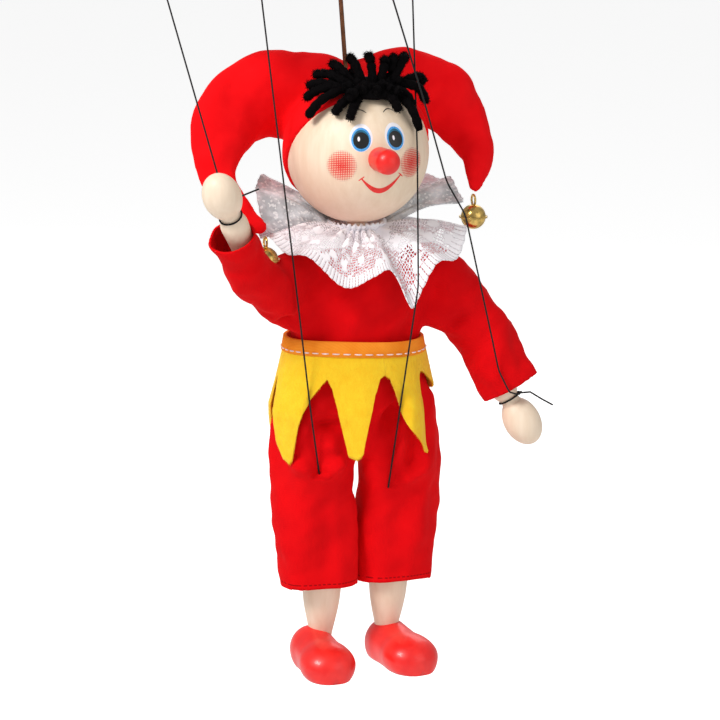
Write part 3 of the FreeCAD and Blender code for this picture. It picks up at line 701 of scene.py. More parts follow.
def dress(node, mat):
    """A CAD node whose shape is right keeps it and takes a better material."""
    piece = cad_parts[node]
    piece.data.materials.clear()
    piece.data.materials.append(mat)
    piece.data.polygons.foreach_set("use_smooth", [True] * len(piece.data.polygons))


# ---- Strings -------------------------------------------------------------------------
STRING_R = 0.42
# Each string's route, from its hole in the control down to the limb that it lifts.
ROUTES = {
    "hand_right": ((-99.1, 7.83, 98), (-76.6, -35.8, -17.4)),
    "hand_left": ((-12.2, -73.2, 98), (16, -56, 27), (30, -46, -10), (41, -42, -27),
                  (61.6, -26.5, -94), (65.5, -24.7, -109), (70.5, -26.5, -120),
                  (77, -21.5, -122.8), (80.9, -16.2, -122.6)),
    "knee_right": ((-46.24, 16.72, 98), (-41.3, -28, -50), (-30.2, -19, -124.7),
                   (-24.1, -13.4, -158.3)),
    "knee_left": ((36.54, 26.89, 98), (19.4, -33.5, 2.7), (18.4, -38.6, -61.5),
                  (12.4, -11.4, -168)),
}
# For each string that a limb lifts, a joint and how far the string is to be drawn up: the share of its
# reach that is left. Nothing here draws the strings up.
DRAWN_UP = {
    "hand_left": ("left_arm_lift", 0.7433),
    "knee_right": ("right_leg_lift", 0.8827),
    "knee_left": ("left_leg_lift", 0.8909),
}
STRING_SIDES = 10
STRING_BEND = 7.0


def cornered(points):
    """The route with two more points close to each corner, so that a curve keeps to it.
    This divides the route's runs in code, which is a departure."""
    out = [Vector(points[0])]
    for before, corner, after in zip(points, points[1:], points[2:]):
        before, corner, after = Vector(before), Vector(corner), Vector(after)
        for other in (before, after):
            reach = min(STRING_BEND, 0.4 * (other - corner).length)
            out.append(corner + (other - corner).normalized() * reach)
        out.insert(-1, corner)
    return out + [Vector(points[-1])]


def nurbs_line(points):
    """The smooth line, as points in metres, that a cord's route stands for."""
    curve = bpy.data.curves.new("route", "CURVE")
    curve.dimensions = "3D"
    curve.resolution_u = 12
    spline = curve.splines.new("NURBS")
    spline.points.add(len(points) - 1)
    for point, p in zip(spline.points, points):
        point.co = (*at(p), 1)
    spline.order_u = 3
    spline.use_endpoint_u = True
    holder = bpy.data.objects.new("route", curve)
    bpy.context.collection.objects.link(holder)
    bpy.context.view_layer.update()
    mesh = bpy.data.meshes.new_from_object(holder)
    line = [v.co.copy() for v in mesh.vertices]
    bpy.data.objects.remove(holder)
    return line


def make_strings():
    for name, route in ROUTES.items():
        limb, side_name = name.split("_")
        line = nurbs_line(cornered(route))
        verts, faces = tube(line, [STRING_R * MM] * len(line), STRING_SIDES)
        piece = build("%s_string_piece_%s" % (limb, side_name), verts, faces, M["string"],
                      slot="black_string", replaces=["%s_string_%s" % (limb, side_name)])
        if name in DRAWN_UP:
            joint, keep = DRAWN_UP[name]
            tuple(at(route[-1]) - at(route[0]))
            tuple(at(route[0]))
            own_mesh(piece)
        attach(piece, "string_%s_%s" % (limb, side_name))
        tuple(at(route[0]))
        [tuple(p) for p in line]


# ---- Head and painted face -----------------------------------------------------------
EYE_LON, EYE_LAT = 15.0, 18.0
CHEEK_LON, CHEEK_LAT, CHEEK_R = 30.5, -4.0, 8.4
MOUTH_LON, MOUTH_LAT, MOUTH_HALF, MOUTH_SLANT = 2.3, -13.3, 17, 0.9
NOSE_R = 6.1


def on_ball(lon, lat, lift=0.0):
    lon, lat = math.radians(lon), math.radians(lat)
    out = Vector((math.sin(lon) * math.cos(lat), -math.cos(lon) * math.cos(lat), math.sin(lat)))
    return out * (HEAD_R + lift)


def near(lon, lat, u, v, lift):
    """A point on the ball u millimetres east and v north of a place on it."""
    degree = math.pi / 180 * HEAD_R
    return on_ball(lon + u / (degree * math.cos(math.radians(lat))), lat + v / degree, lift)


def spot(name, lon, lat, outline, lift, mat, slot="turned_wood"):
    """A painted spot: rings from its middle out to an outline of (east, north) points."""
    count, steps = len(outline), 8
    verts, uv, faces = [near(lon, lat, 0, 0, lift)], [(0, 0)], []
    for i in range(1, steps + 1):
        for u, v in outline:
            verts.append(near(lon, lat, u * i / steps, v * i / steps, lift))
            uv.append((u * i / steps * MM, v * i / steps * MM))
    faces += [(0, 1 + k, 1 + (k + 1) % count) for k in range(count)]
    for i in range(steps - 1):
        for k in range(count):
            a, b = 1 + i * count, 1 + (i + 1) * count
            faces.append((a + k, b + k, b + (k + 1) % count, a + (k + 1) % count))
    return build(name, [at(v) for v in verts], faces, mat, "head", slot, uv=uv)


def oval(rx, ry, cx=0.0, cy=0.0, count=48):
    angles = [math.radians(360 / count * k) for k in range(count)]
    return [(cx + rx * math.cos(a), cy + ry * math.sin(a)) for a in angles]


def stroke(name, places, widths, lift, mat):
    """A painted stroke along (lon, lat) places, with its width in millimetres at each."""
    points = smooth_path([(lon, lat, w) for (lon, lat), w in zip(places, widths)], 8)
    verts = []
    for i, (lon, lat, w) in enumerate(points):
        ahead, behind = points[min(i + 1, len(points) - 1)], points[max(i - 1, 0)]
        along = on_ball(ahead[0], ahead[1]) - on_ball(behind[0], behind[1])
        middle = on_ball(lon, lat, lift)
        across = middle.cross(along).normalized() * (w / 2)
        for side in (-1, 0, 1):
            p = middle + across * side
            verts.append(p.normalized() * (HEAD_R + lift))
    return build(name, [at(v) for v in verts], grid_faces(len(points), 3), mat, "head", "turned_wood")


def make_nose():
    """A turned peg with a round end."""
    axis = Vector((0, -1, 0.02)).normalized()
    path = [axis * 33, axis * 36, axis * 42, axis * 46]
    radii = [NOSE_R - 0.3, NOSE_R - 0.25, NOSE_R - 0.1, NOSE_R]
    for step in range(1, 11):
        turn = math.radians(step * 8.9)
        path.append(axis * (46.6 + NOSE_R * 0.85 * math.sin(turn)))
        radii.append(NOSE_R * math.cos(turn))
    verts, faces = tube(path, radii, 48)
    build("nose_wood", [at(v) for v in verts], faces, M["nose"], "head", "nose_paint", ["nose_peg"])


def make_head():
    verts, faces = ellipsoid((0, 0, 0), (X * HEAD_R, Y * HEAD_R, Z * HEAD_R), 128)
    build("head_wood", [at(v) for v in verts], faces, M["head"], "head", "turned_wood", ["head_ball"])
    make_nose()
    dress("neck_peg", M["limb"])
    for side_name, side in SIDES:
        lon = EYE_LON * side
        spot("eye_white_" + side_name, lon, EYE_LAT + 0.5, oval(5.6, 6.9), 0.03, M["ink_white"])
        spot("eye_iris_" + side_name, lon, EYE_LAT - 1, oval(4.7, 5.8), 0.06, M["ink_blue"])
        spot("eye_teal_" + side_name, lon, EYE_LAT - 1, oval(3.9, 4.5, 0, 0.2), 0.075, M["ink_teal"])
        spot("eye_pupil_" + side_name, lon, EYE_LAT - 1.6, oval(3.8, 4.05, 0, -0.1), 0.1, M["ink_black"])
        spot("eye_glint_" + side_name, lon - 1.9, EYE_LAT - 0.6, oval(0.6, 1.2), 0.14, M["ink_white"])
        spot("cheek_" + side_name, CHEEK_LON * side, CHEEK_LAT, oval(CHEEK_R, CHEEK_R), 0.03, M["cheek"])
        brow = [(side * (16 + 7 * t), 39.2 + 3.0 * (1 - t * t)) for t in (-1, -0.5, 0, 0.5, 1)]
        stroke("brow_" + side_name, brow, (0.3, 0.5, 0.55, 0.45, 0.25), 0.05, M["ink_black"])
    mouth = []
    for t in (-1, -0.75, -0.5, -0.25, 0, 0.25, 0.5, 0.75, 1):
        sag = 12.2 * math.cos(t * math.pi / 2) ** 0.95
        mouth.append((MOUTH_LON + MOUTH_HALF * t, MOUTH_LAT + MOUTH_SLANT * t - sag))
    stroke("mouth", mouth, (0.6, 1.3, 2.1, 2.7, 2.9, 2.7, 2.1, 1.3, 0.6), 0.05, M["ink_red"])
    for end in (-1, 1):
        lon, lat = MOUTH_LON + MOUTH_HALF * end, MOUTH_LAT + MOUTH_SLANT * end
        tick = [(lon - 2.3, lat + 1.7 * end), (lon, lat), (lon + 2.3, lat - 1.7 * end)]
        name = "mouth_tick_" + ("right" if end < 0 else "left")
        stroke(name, tick, (0.4, 0.6, 0.4), 0.07, M["ink_red"])


# ---- Hair ----------------------------------------------------------------------------
# Each chenille strand: its tip, and how far its middle bows away from the ball.
STRANDS = (
    ((-30, -10, 28), 3), ((-31, -17, 20), 3), ((-24, -6, 39), 3), ((-17, -10, 45), 3),
    ((-8, -11, 48), 3), ((1, -13, 49), 3), ((9, -15, 46), 4), ((22, -6, 46), 5),
    ((31, -8, 34), 4), ((29, -19, 25), 4), ((22, -30, 13), 3), ((-14, -31, 20), 2),
    ((-20, -25, 22), 2), ((11, -31, 23), 2), ((-28, -8, 34), 3), ((15, -11, 47), 4),
    ((20, -25, 24), 3),
)
HAIR_ROOT = (2, -19, 33)
YARN_R = 3.1


def fuzz(rng, path, radius, count):
    """Short fibres standing out all round a strand of chenille, as thin slivers."""
    verts, faces = [], []
    steps = len(path) - 1
    for _ in range(count):
        s = rng.uniform(0, steps - 0.001)
        i = int(s)
        a, b = Vector(path[i]), Vector(path[i + 1])
        middle = a.lerp(b, s - i)
        u, v, w = frame_along(b - a)
        angle = rng.uniform(0, 2 * math.pi)
        out = u * math.cos(angle) + v * math.sin(angle) + w * rng.uniform(-0.35, 0.35)
        out.normalize()
        across = out.cross(w).normalized() * 0.2
        reach = radius * rng.uniform(0.78, 1.12)
        start = len(verts)
        verts += [middle + out * radius * 0.45 - across, middle + out * radius * 0.45 + across,
                  middle + out * reach]
        faces.append((start, start + 1, start + 2))
    return verts, faces


def make_hair():
    rng = random.Random(5)
    root = Vector(HAIR_ROOT)
    shapes = []
    for tip, bow in STRANDS:
        tip = Vector(tip)
        start = root + X * ((tip.x - root.x) * 0.42)
        start += Vector((0, rng.uniform(-1, 1), rng.uniform(-3, 3)))
        middle = start.lerp(tip, 0.55)
        middle += middle.normalized() * bow
        path = smooth_path([start, middle, tip], 7)
        radii = [YARN_R * 0.72 * (1 + 0.1 * math.sin(2.1 * i + tip.x)) for i in range(len(path))]
        radii[-1] *= 0.55
        shapes.append(tube(path, radii, 10))
        shapes.append(fuzz(rng, path, YARN_R, 900))
    out = root.normalized()
    upward = out.cross(X).normalized() * -1
    shapes.append(ellipsoid(root, (X * 15, upward * 8.5, out * 3.6), 20))
    for _ in range(26):
        a, b = rng.uniform(-1, 1), rng.uniform(-1, 1)
        start = root + X * a * 13 + upward * b * 6 + out * 1.5
        end = start + X * (a * 5 + rng.uniform(-3, 3))
        end += upward * (b * 5 + rng.uniform(-3, 3)) + out * 0.9
        path = [start, start.lerp(end, 0.5) + out * 1.2, end]
        shapes.append(tube(path, [2.2, 2.5, 1.5], 8))
        shapes.append(fuzz(rng, path, YARN_R, 320))
    verts, faces = combined(shapes)
    build("hair_chenille", [at(v) for v in verts], faces, M["hair"], "head", "black_chenille",
          ["hair_yarn"])


# ---- Cap -----------------------------------------------------------------------------
CAP_OUT = 36.9
CAP_TILT = 34.0
HORN_DEPTH = 0.6
HORN_SPINES = {
    "right": (
        (5, 16, 19, 20.5), (-8, 20, 22.5, 21), (-20, 23, 24.5, 22), (-38, 24, 27, 22), (-55, 20, 21, 18.5),
        (-68, 9, 9, 14.5), (-72.5, -2, -8, 10.0), (-64, -10, -23, 6.0), (-52.5, -15, -34.5, 2.4),
    ),
    "left": (
        (-5, 16, 19, 20.5), (8, 20, 22, 20.5), (20, 23, 24, 21), (38, 24, 26, 20.5), (53, 22, 19.5, 17.5),
        (62, 16, 6, 13.5), (64.5, 7, -5, 9.0), (62, 1, -14, 5.0), (60, -2.5, -21.5, 2.4),
    ),
}


def cap_solid():
    """The crown: a ball cut by the tilted plane of the cap's edge."""
    tilt = math.radians(CAP_TILT)
    up = Vector((0, math.cos(tilt), math.sin(tilt)))
    across = up.cross(X)
    verts, faces = ellipsoid((0, 0, 0), (X * CAP_OUT, across * CAP_OUT, up * CAP_OUT), 72)
    flat = []
    for v in verts:
        below = v.dot(up)
        flat.append(v - up * below if below < 0 else v)
    return flat, faces


def make_cap():
    shapes = [cap_solid()]
    for side_name, _ in SIDES:
        rows = smooth_path(HORN_SPINES[side_name], 6)
        shapes.append(tube([Vector(r[:3]) for r in rows], [r[3] for r in rows], 36, HORN_DEPTH, Y))
    points, polygons = remeshed(shapes, 1.3, 10)
    normals = normals_of(points, polygons)
    away = np.clip((np.linalg.norm(points, axis=1) - CAP_OUT) / 12, 0, 1)
    bent = folds(points, normals, 2.2, 17, (0.6, 0.2, 1), 2.2, 3.0)
    fine = folds(points, normals, 0.6, 6, (1, 0, 1), 2.5, 8.0)
    away = away[:, None]
    points = points + (bent - points) * away + (fine - points) * (0.3 + 0.7 * away)
    build("cap_cloth", [at(p) for p in points], polygons, M["hat"], "head", "red_cotton",
          ["cap_crown", "cap_horn_right", "cap_horn_left"])


# ---- Bells ---------------------------------------------------------------------------
def make_bells():
    for side_name, _ in SIDES:
        for node in ("bell_shell_", "bell_loop_"):
            dress(node + side_name, M["brass"])
        dress("bell_pellet_" + side_name, M["steel"])


# ---- Jacket --------------------------------------------------------------------------
CLOTH = 1.0
SHOULDER = {"right": (-36, 0, -52), "left": (36, 0, -52)}
ELBOW = {"right": (-54.3, -20, -63), "left": (50.5, -2.5, -79.5)}
HAND = {"right": (-82, -48, -11.5), "left": (82, -15, -138)}
CUFF_SHORT = {"right": 24.0, "left": 18.0}
JACKET_ROWS = (
    (-2, 0, -97, 31.0, 19.4), (-2, 0, -90, 32.6, 20.6), (-1, 0, -80, 35.4, 21.2),
    (0, 0, -70, 36.6, 20.4), (0, 0, -62, 36, 18), (0, 0, -55, 33, 15.5),
    (0, 0, -51, 24, 12.5), (0, 0, -47.5, 13.5, 9.5),
)
SLEEVES = {
    "right": (
        ((-24, 2, -60, 12), (-38, -5, -61, 12.5), (-54.3, -20, -60, 12.5), (-67.5, -31, -44, 11.8),
         (-73.6, -38, -33, 11.6), (-77, -41.4, -26.5, 11.6)),
        ((-22, -4, -80, 11), (-38, -9, -73, 10.5), (-52, -20, -61, 10.5), (-66, -31, -46.5, 10.8),
         (-73.4, -37.8, -35.5, 11.2)),
    ),
    "left": (
        ((24, 2, -60, 12), (38, 0, -62, 13.5), (55.5, -3, -80, 14.2), (67.5, -8, -102.5, 14.2),
         (79, -11.7, -121.5, 14.6), (81.8, -12.8, -126.7, 14.6)),
        ((22, 0, -76, 12), (38, -1.5, -76, 12.0), (53, -4, -87, 11.5), (67, -8, -104, 12)),
    ),
}
# Soft ridges and hollows: from, to, width and height; a hollow's height is below zero.
JACKET_CREASES = (
    ((-58, -20, -34), (-49, -20, -70), 3.0, -2.2), ((-49, -19, -70), (-36, -18, -86), 3.2, -2.4),
    ((-40, -18, -66), (-26, -19, -88), 3.6, -1.2), ((-30, -18, -62), (-22, -20, -88), 5.0, -1.2),
    ((36, -14, -70), (24, -20, -92), 4.0, -2.0), ((30, -17, -66), (14, -21, -88), 5.0, 1.3),
    ((44, -12, -86), (56, -14, -84), 3.5, -1.8), ((52, 6, -92), (64, -16, -98), 4.0, -1.5),
    ((60, -12, -110), (78, -22, -112), 4.0, 1.3), ((-4, -22, -70), (6, -22, -90), 7.0, -1.0),
)
TROUSER_CREASES = (
    ((-24, -16, -158), (-42, -12, -150), 3.4, 2.3), ((-24, -16, -158), (-8, -14, -150), 3.4, 2.3),
    ((-28, -15, -131), (-11, -15, -135), 3.0, -2.6), ((-25, -16, -120), (-34, -15, -137), 4.2, 2.4),
    ((-24, -16, -141), (-14, -16, -147), 3.5, 1.8), ((-34, -16, -168), (-18, -17, -178), 6.0, -1.7),
    ((-24, -17, -161), (-30, -17, -196), 5.5, 1.5), ((-12, -15, -172), (-14, -16, -205), 5.0, 1.0),
    ((12, -17, -167), (20, -16, -134), 3.2, 2.6), ((15, -15, -123), (9, -14, -140), 3.0, -2.6),
    ((12, -17, -167), (32, -15, -158), 3.4, 2.1), ((24, -17, -142), (24, -16, -160), 4.0, -2.4),
    ((12, -17, -168), (1, -14, -160), 3.2, 1.8), ((26, -16, -172), (14, -17, -190), 6.0, -1.8),
    ((32, -14, -166), (30, -16, -206), 5.0, 1.4), ((10, -17, -176), (8, -16, -208), 4.5, 1.2),
    ((-22, 20, -125), (-30, 19, -165), 6.0, -2.2), ((22, 20, -125), (28, 19, -168), 6.0, -2.2),
    ((0, 21, -120), (-14, 20, -150), 6.0, 1.8), ((34, 16, -150), (16, 20, -175), 5.0, 1.8),
)


def line_of(side_name):
    elbow, hand = Vector(ELBOW[side_name]), Vector(HAND[side_name])
    lower = (hand - elbow).normalized()
    return elbow, lower, hand - lower * CUFF_SHORT[side_name]


def make_jacket():
    shapes = [rings(smooth_path(JACKET_ROWS, 4))]
    for side_name, _ in SIDES:
        for run in SLEEVES[side_name]:
            rows = smooth_path(run, 6)
            shapes.append(tube([Vector(r[:3]) for r in rows], [r[3] for r in rows], 32))
    points, polygons = remeshed(shapes, 1.6, 12)
    for side_name, _ in SIDES:
        _, lower, cuff = line_of(side_name)
        points, polygons = trimmed(points, polygons, cuff, lower)
    normals = normals_of(points, polygons)
    points = folds(points, normals, 3.4, 15, (0.35, 0, 1), 3.2, 1.0)
    points = folds(points, normals, 1.3, 7, (1, 0, 0.8), 3.0, 4.0)
    points = creases(points, normals, JACKET_CREASES)
    points = behind_strings(relaxed(points, polygons, 1), 1.0)
    points, polygons = thickened(points, polygons, CLOTH)
    normals = normals_of(points, polygons)

    def choose(p):
        for side_name, side in SIDES:
            shoulder = Vector(SHOULDER[side_name])
            elbow, lower, _ = line_of(side_name)
            upper = (elbow - shoulder).normalized()
            p = Vector(p)
            bend = (upper + lower).normalized()
            if (p - elbow).dot(bend) > 0 and p.x * side > 38:
                return "lower_" + side_name
            if p.x * side > 30 + 0.25 * max(0, -p.z - 62):
                return "upper_" + side_name
        return "body"

    specs = {"body": ("jacket_front_back", "red_cotton", ["jacket_body"])}
    for side_name, _ in SIDES:
        for end, part in (("upper_", "sleeve_top_"), ("lower_", "sleeve_cuff_")):
            specs[end + side_name] = (part + side_name, "red_cotton", ["sleeve_" + end + side_name])
    made = share_out(points, polygons, normals, choose, specs, M["jacket"])
    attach(made["body"], "torso")
    for side_name, side in SIDES:
        elbow, lower, _ = line_of(side_name)
        shoulder = Vector(SHOULDER[side_name])
        upper = (elbow - shoulder).normalized()
        bend = (upper + lower).normalized()
        start = Vector((side * 31, shoulder.y, shoulder.z))
        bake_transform(made["upper_" + side_name], "torso", "upper_arm_" + side_name,
                 tuple(at(start)), tuple(at(start + (elbow - start) * 0.9)))
        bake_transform(made["lower_" + side_name], "upper_arm_" + side_name, "forearm_" + side_name,
                 tuple(at(elbow + bend * 1)), tuple(at(elbow + bend * 16)))

# ---- Trousers ------------------------------------------------------------------------
SEAT_ROWS = (
    (-2, 0, -93, 31.8, 19.8), (-2, 0, -103, 34.0, 20.4), (-1.8, 1.5, -116, 37.2, 20.4),
    (-0.8, 2, -126, 40.0, 19.0), (0, 2, -134, 34, 15.0), (0, 1, -143, 20, 13.0), (0, 1, -151, 9, 9.0),
)
LEG_ROWS = {
    "right": ((-18, 3, -108, 17.6, 15), (-21.5, 3, -130, 20.6, 16.6), (-22.1, 2.8, -149, 21.2, 17),
              (-22.4, 2.5, -163, 20.7, 17), (-21.4, 3.2, -190, 19.8, 16),
              (-20.4, 4, -219, 19.2, 15), (-20.4, 4, -226, 19.2, 15)),
    "left": ((16.5, 3, -108, 17, 15), (21.3, 3, -130, 20.6, 16.6), (22.1, 2.8, -149, 21.4, 17),
             (22.6, 2.5, -163, 21.1, 17), (21.6, 3.2, -190, 20.4, 16),
             (20.4, 4, -216, 19.4, 15), (20.4, 4, -223, 19.4, 15)),
}
HEM_Z = -218.5
CROTCH_Z = -140.0
LEG_GAP = 0.2


def make_trousers():
    shapes = [rings(smooth_path(SEAT_ROWS, 4))]
    for side_name, _ in SIDES:
        shapes.append(rings(smooth_path(LEG_ROWS[side_name], 5)))
    points, polygons = remeshed(shapes, 1.6, 10)
    points, polygons = trimmed(points, polygons, (0, 0, HEM_Z), (0, -0.02, -1))
    right_leg = np.flatnonzero(points[:, 0] < 0)
    normals = normals_of(points, polygons)
    below = np.clip((-120 - points[:, 2]) / 25, 0.1, 1)[:, None]
    bent = folds(points, normals, 3.6, 13, (0, 0, 1), 4.0, 2.0)
    points = points + (bent - points) * below
    points = folds(points, normals, 1.2, 8, (1, 0, 0.5), 2.6, 5.0)
    points = creases(points, normals, TROUSER_CREASES)
    points = behind_strings(relaxed(points, polygons, 1), 0.6)
    inner = (points[:, 2] < CROTCH_Z - 12) & (np.abs(points[:, 0]) < 8)
    # Below the knees the legs hang against each other.
    close = np.clip((-172 - points[:, 2]) / 10, 0, 1) * np.clip(1 - np.abs(points[:, 0]) / 10, 0, 1)
    points[:, 0] *= 1 - 0.8 * close
    apart = np.where(np.isin(np.arange(len(points)), right_leg), np.minimum(points[:, 0], -LEG_GAP),
                     np.maximum(points[:, 0], LEG_GAP))
    points[:, 0] = np.where(inner, apart, points[:, 0])
    points, polygons = thickened(points, polygons, CLOTH)
    normals = normals_of(points, polygons)

    def choose(p):
        side_name = "right" if p[0] < 0 else "left"
        if p[2] < -160:
            return "lower_" + side_name
        return "upper_" + side_name if p[2] < -124 else "seat"

    specs = {"seat": ("trousers_top", "red_cotton", ["trousers_seat"])}
    for side_name, _ in SIDES:
        for end in ("upper", "lower"):
            key = "%s_%s" % (end, side_name)
            specs[key] = ("trouser_leg_" + key, "red_cotton", ["trouser_" + key])
    made = share_out(points, polygons, normals, choose, specs, M["trousers"])
    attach(made["seat"], "torso")
    for side_name, side in SIDES:
        x = 20 * side
        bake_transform(made["upper_" + side_name], "torso", "thigh_" + side_name,
                 tuple(at((x, 3, -125.5))), tuple(at((x, 3, -152))))
        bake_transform(made["lower_" + side_name], "thigh_" + side_name, "shin_" + side_name,
                 tuple(at((x, 1, -162))), tuple(at((x, 1, -186))))


# ---- Waistband and skirt -------------------------------------------------------------
BAND_TOP, BAND_LOW = -91.2, -98.6
STITCH_PITCH = 4.7


def band_point(angle, z, lift=0.0):
    a = math.radians(angle)
    share = (BAND_TOP - z) / (BAND_TOP - BAND_LOW)
    rx, ry = 34.9 + 1.2 * share + lift, 23.2 + 1.2 * share + lift
    dip = 0.4 * math.cos(3 * a + 1) - 1.6 * math.sin(a)
    return Vector((rx * math.sin(a) - 2, -ry * math.cos(a), z + dip))


def make_band():
    verts, columns = [], 120
    levels = (0.0, 0.04, 0.5, 0.96, 1.0)
    profile = [(BAND_TOP + (BAND_LOW - BAND_TOP) * s, 0.8 if 0 < s < 1 else 0.5) for s in levels]
    profile += [(z, -lift - 0.2) for z, lift in reversed(profile)]
    for z, lift in profile:
        for k in range(columns):
            verts.append(at(band_point(360 * k / columns, z, lift)))
    faces = grid_faces(len(profile), columns, close_columns=True, close_rows=True)
    build("waist_tape", verts, faces, M["band"], "torso", "orange_tape", ["waistband"])
    round_waist = 2 * math.pi * math.sqrt((36 ** 2 + 24.3 ** 2) / 2)
    count = int(round_waist / STITCH_PITCH)
    shapes = []
    for k in range(count):
        middle, step = 360 * k / count, 360 * 0.33 / count
        path = [band_point(middle + step * t, BAND_LOW + 1.6, 0.8 + 0.32 * (1 - t * t))
                for t in (-1, -0.5, 0, 0.5, 1)]
        shapes.append(tube(path, [0.22, 0.34, 0.36, 0.34, 0.22], 8))
    verts, faces = combined(shapes)
    build("waist_stitches", [at(v) for v in verts], faces, M["stitch"], "torso", "orange_tape")


FELT = 1.4
SKIRT_TOP = -96.0
# The skirt's lower edge: degrees from the front towards the left side, and height.
SKIRT_EDGE = (
    (-108, -140), (-100, -126), (-92, -112), (-86, -109), (-80, -117), (-77, -128), (-73, -141),
    (-66, -149), (-59, -151.5), (-56, -149.5), (-50, -131), (-42, -118), (-35, -110.5),
    (-32, -108.5), (-28, -113), (-23, -124), (-18, -140), (-16, -147.5), (-10, -149),
    (-7, -146.5), (-3, -131), (2, -117), (7, -109), (11, -107.5), (15, -109.5), (20, -120.5),
    (24, -136), (30, -148), (36, -154.5), (39, -152), (41, -139.5), (42.5, -124), (45, -112),
    (49, -108.5), (56, -109), (66, -113), (76, -117), (84, -120), (94, -121), (102, -116),
    (110, -110), (120, -122), (130, -140), (138, -142), (146, -126), (156, -110), (166, -122),
    (176, -140), (184, -142), (192, -126), (202, -110), (212, -122), (222, -140), (230, -142),
    (240, -126),
)
# How far the tongue by the left leg curls sideways at its tip, in degrees.
SKIRT_CURL = 28.0
SKIRT_SEAM_FRONT, SKIRT_SEAM_BACK = 12.0, 202.0
# Where the skirt would start to follow a thigh, and where it would follow it wholly; nothing here makes it
# follow.
SKIRT_BEND = (tuple(at((0, 0, -106))), tuple(at((0, 0, -140))))


def skirt_point(angle, z):
    curl = SKIRT_CURL * max(0, (-116 - z) / 38) ** 2 * math.exp(-((angle - 34) / 14) ** 2)
    a = math.radians(angle + curl)
    drop = (SKIRT_TOP - z) / 54
    wave = 1.9 * drop * math.sin(5 * a + 0.6) + 1.4 * drop * math.sin(9 * a + 2.0)
    rx = 35.4 + (9.2 - 5 * max(0, math.sin(a)) ** 2) * min(1, drop * 1.8) + wave
    ry = 23.4 + 4.8 * min(1, drop * 1.8) + wave
    return Vector((rx * math.sin(a) - 2 + 1.5 * drop, -ry * math.cos(a) + 1.2 * drop, z))


def make_skirt():
    angles = np.array([a for a, _ in SKIRT_EDGE], float)
    heights = np.array([z for _, z in SKIRT_EDGE], float)
    angles = np.append(angles, angles[0] + 360)
    heights = np.append(heights, heights[0])
    rng = random.Random(9)
    halves = {
        "right": (SKIRT_SEAM_BACK - 360, SKIRT_SEAM_FRONT),
        "left": (SKIRT_SEAM_FRONT, SKIRT_SEAM_BACK),
    }
    rows = 36
    for side_name, (first, last) in halves.items():
        columns = int((last - first) * 1.6)
        outer, edge = [], []
        for k in range(columns):
            angle = first + (last - first) * k / (columns - 1)
            wrapped = (angle - angles[0]) % 360 + angles[0]
            z = np.interp(wrapped, angles, heights)
            edge.append(z + rng.uniform(-0.25, 0.25))
            for i in range(rows):
                z = SKIRT_TOP + (edge[-1] - SKIRT_TOP) * i / (rows - 1)
                outer.append(skirt_point(angle, z))
        faces = grid_faces(columns, rows)
        points = behind_strings(np.array(outer), 1.4)
        outer = [Vector(p) for p in points]
        points, polygons = thickened(points, faces, -FELT / 2)
        normals = normals_of(points, polygons)
        points = folds(points, normals, 0.16, 1.6, (0, 0, 1), 1.0, 2.0)
        verts = [at(p) for p in points]
        fibres = []
        for k in range(columns - 1):
            for _ in range(7):
                share = rng.random()
                base = outer[k * rows + rows - 1].lerp(outer[(k + 1) * rows + rows - 1], share)
                end = base + Vector((rng.uniform(-0.5, 0.5), rng.uniform(-0.5, 0.5),
                                     rng.uniform(-1.0, 0.1)))
                fibres.append(([base + X * 0.05, base - X * 0.05, end], [(0, 1, 2)]))
        piece = build("skirt_felt_" + side_name, verts, polygons, M["felt"], slot="yellow_felt",
                      replaces=["felt_skirt_" + side_name])
        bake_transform(piece)
        verts, faces = combined(fibres)
        fluff = build("skirt_fluff_" + side_name, [at(v) for v in verts], faces, M["felt"],
                      slot="yellow_felt")
        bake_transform(fluff)


# ---- Collar --------------------------------------------------------------------------
# The lace ruff's edge: degrees round from the left side by the back, its reach from the
# neck's middle and its height.
RUFF_EDGE = (
    (0, 48, -42), (20, 45, -44), (40, 42, -45), (65, 40, -46), (90, 39, -46), (115, 40, -46),
    (140, 42, -44), (160, 45, -40), (175, 49, -37), (188, 51, -38), (200, 51, -41),
    (218, 48, -45), (232, 45, -53), (250, 42, -59.5), (268, 40, -58.5), (279, 39, -55),
    (286, 40, -60), (294, 42, -71), (303, 42, -66), (314, 46, -55), (326, 51, -50.5),
    (338, 54, -44), (348, 54, -39),
)
NECK_AT = (0, 1, -38.5)
NECK_RX, NECK_RY = 10.5, 9.8
RUFF_UP, RUFF_CLOTH = 4.0, 0.5
# The silver net behind it stands up round the back and both sides of the neck.
NET_EDGE = (
    (0, 51, -18), (20, 50, -15), (40, 48, -20), (65, 45, -27), (90, 43, -29), (115, 43, -26),
    (135, 46, -18), (152, 49, -13), (168, 50, -16), (182, 50, -25), (196, 48, -38),
    (212, 40, -44), (270, 30, -44), (320, 40, -44), (335, 50, -37), (348, 53, -24),
)


def ruff_edge(angle, edge):
    table = np.array(edge, float)
    table = np.vstack([table[-2:] - (360, 0, 0), table, table[:2] + (360, 0, 0)])
    i = int(np.searchsorted(table[:, 0], angle % 360, side="right")) - 1
    p = table[i - 1:i + 3, 1:]
    t = (angle % 360 - table[i, 0]) / (table[i + 1, 0] - table[i, 0])
    return 0.5 * (2 * p[1] + (p[2] - p[0]) * t + (2 * p[0] - 5 * p[1] + 4 * p[2] - p[3]) * t ** 2
                  + (3 * p[1] - p[0] - 3 * p[2] + p[3]) * t ** 3)


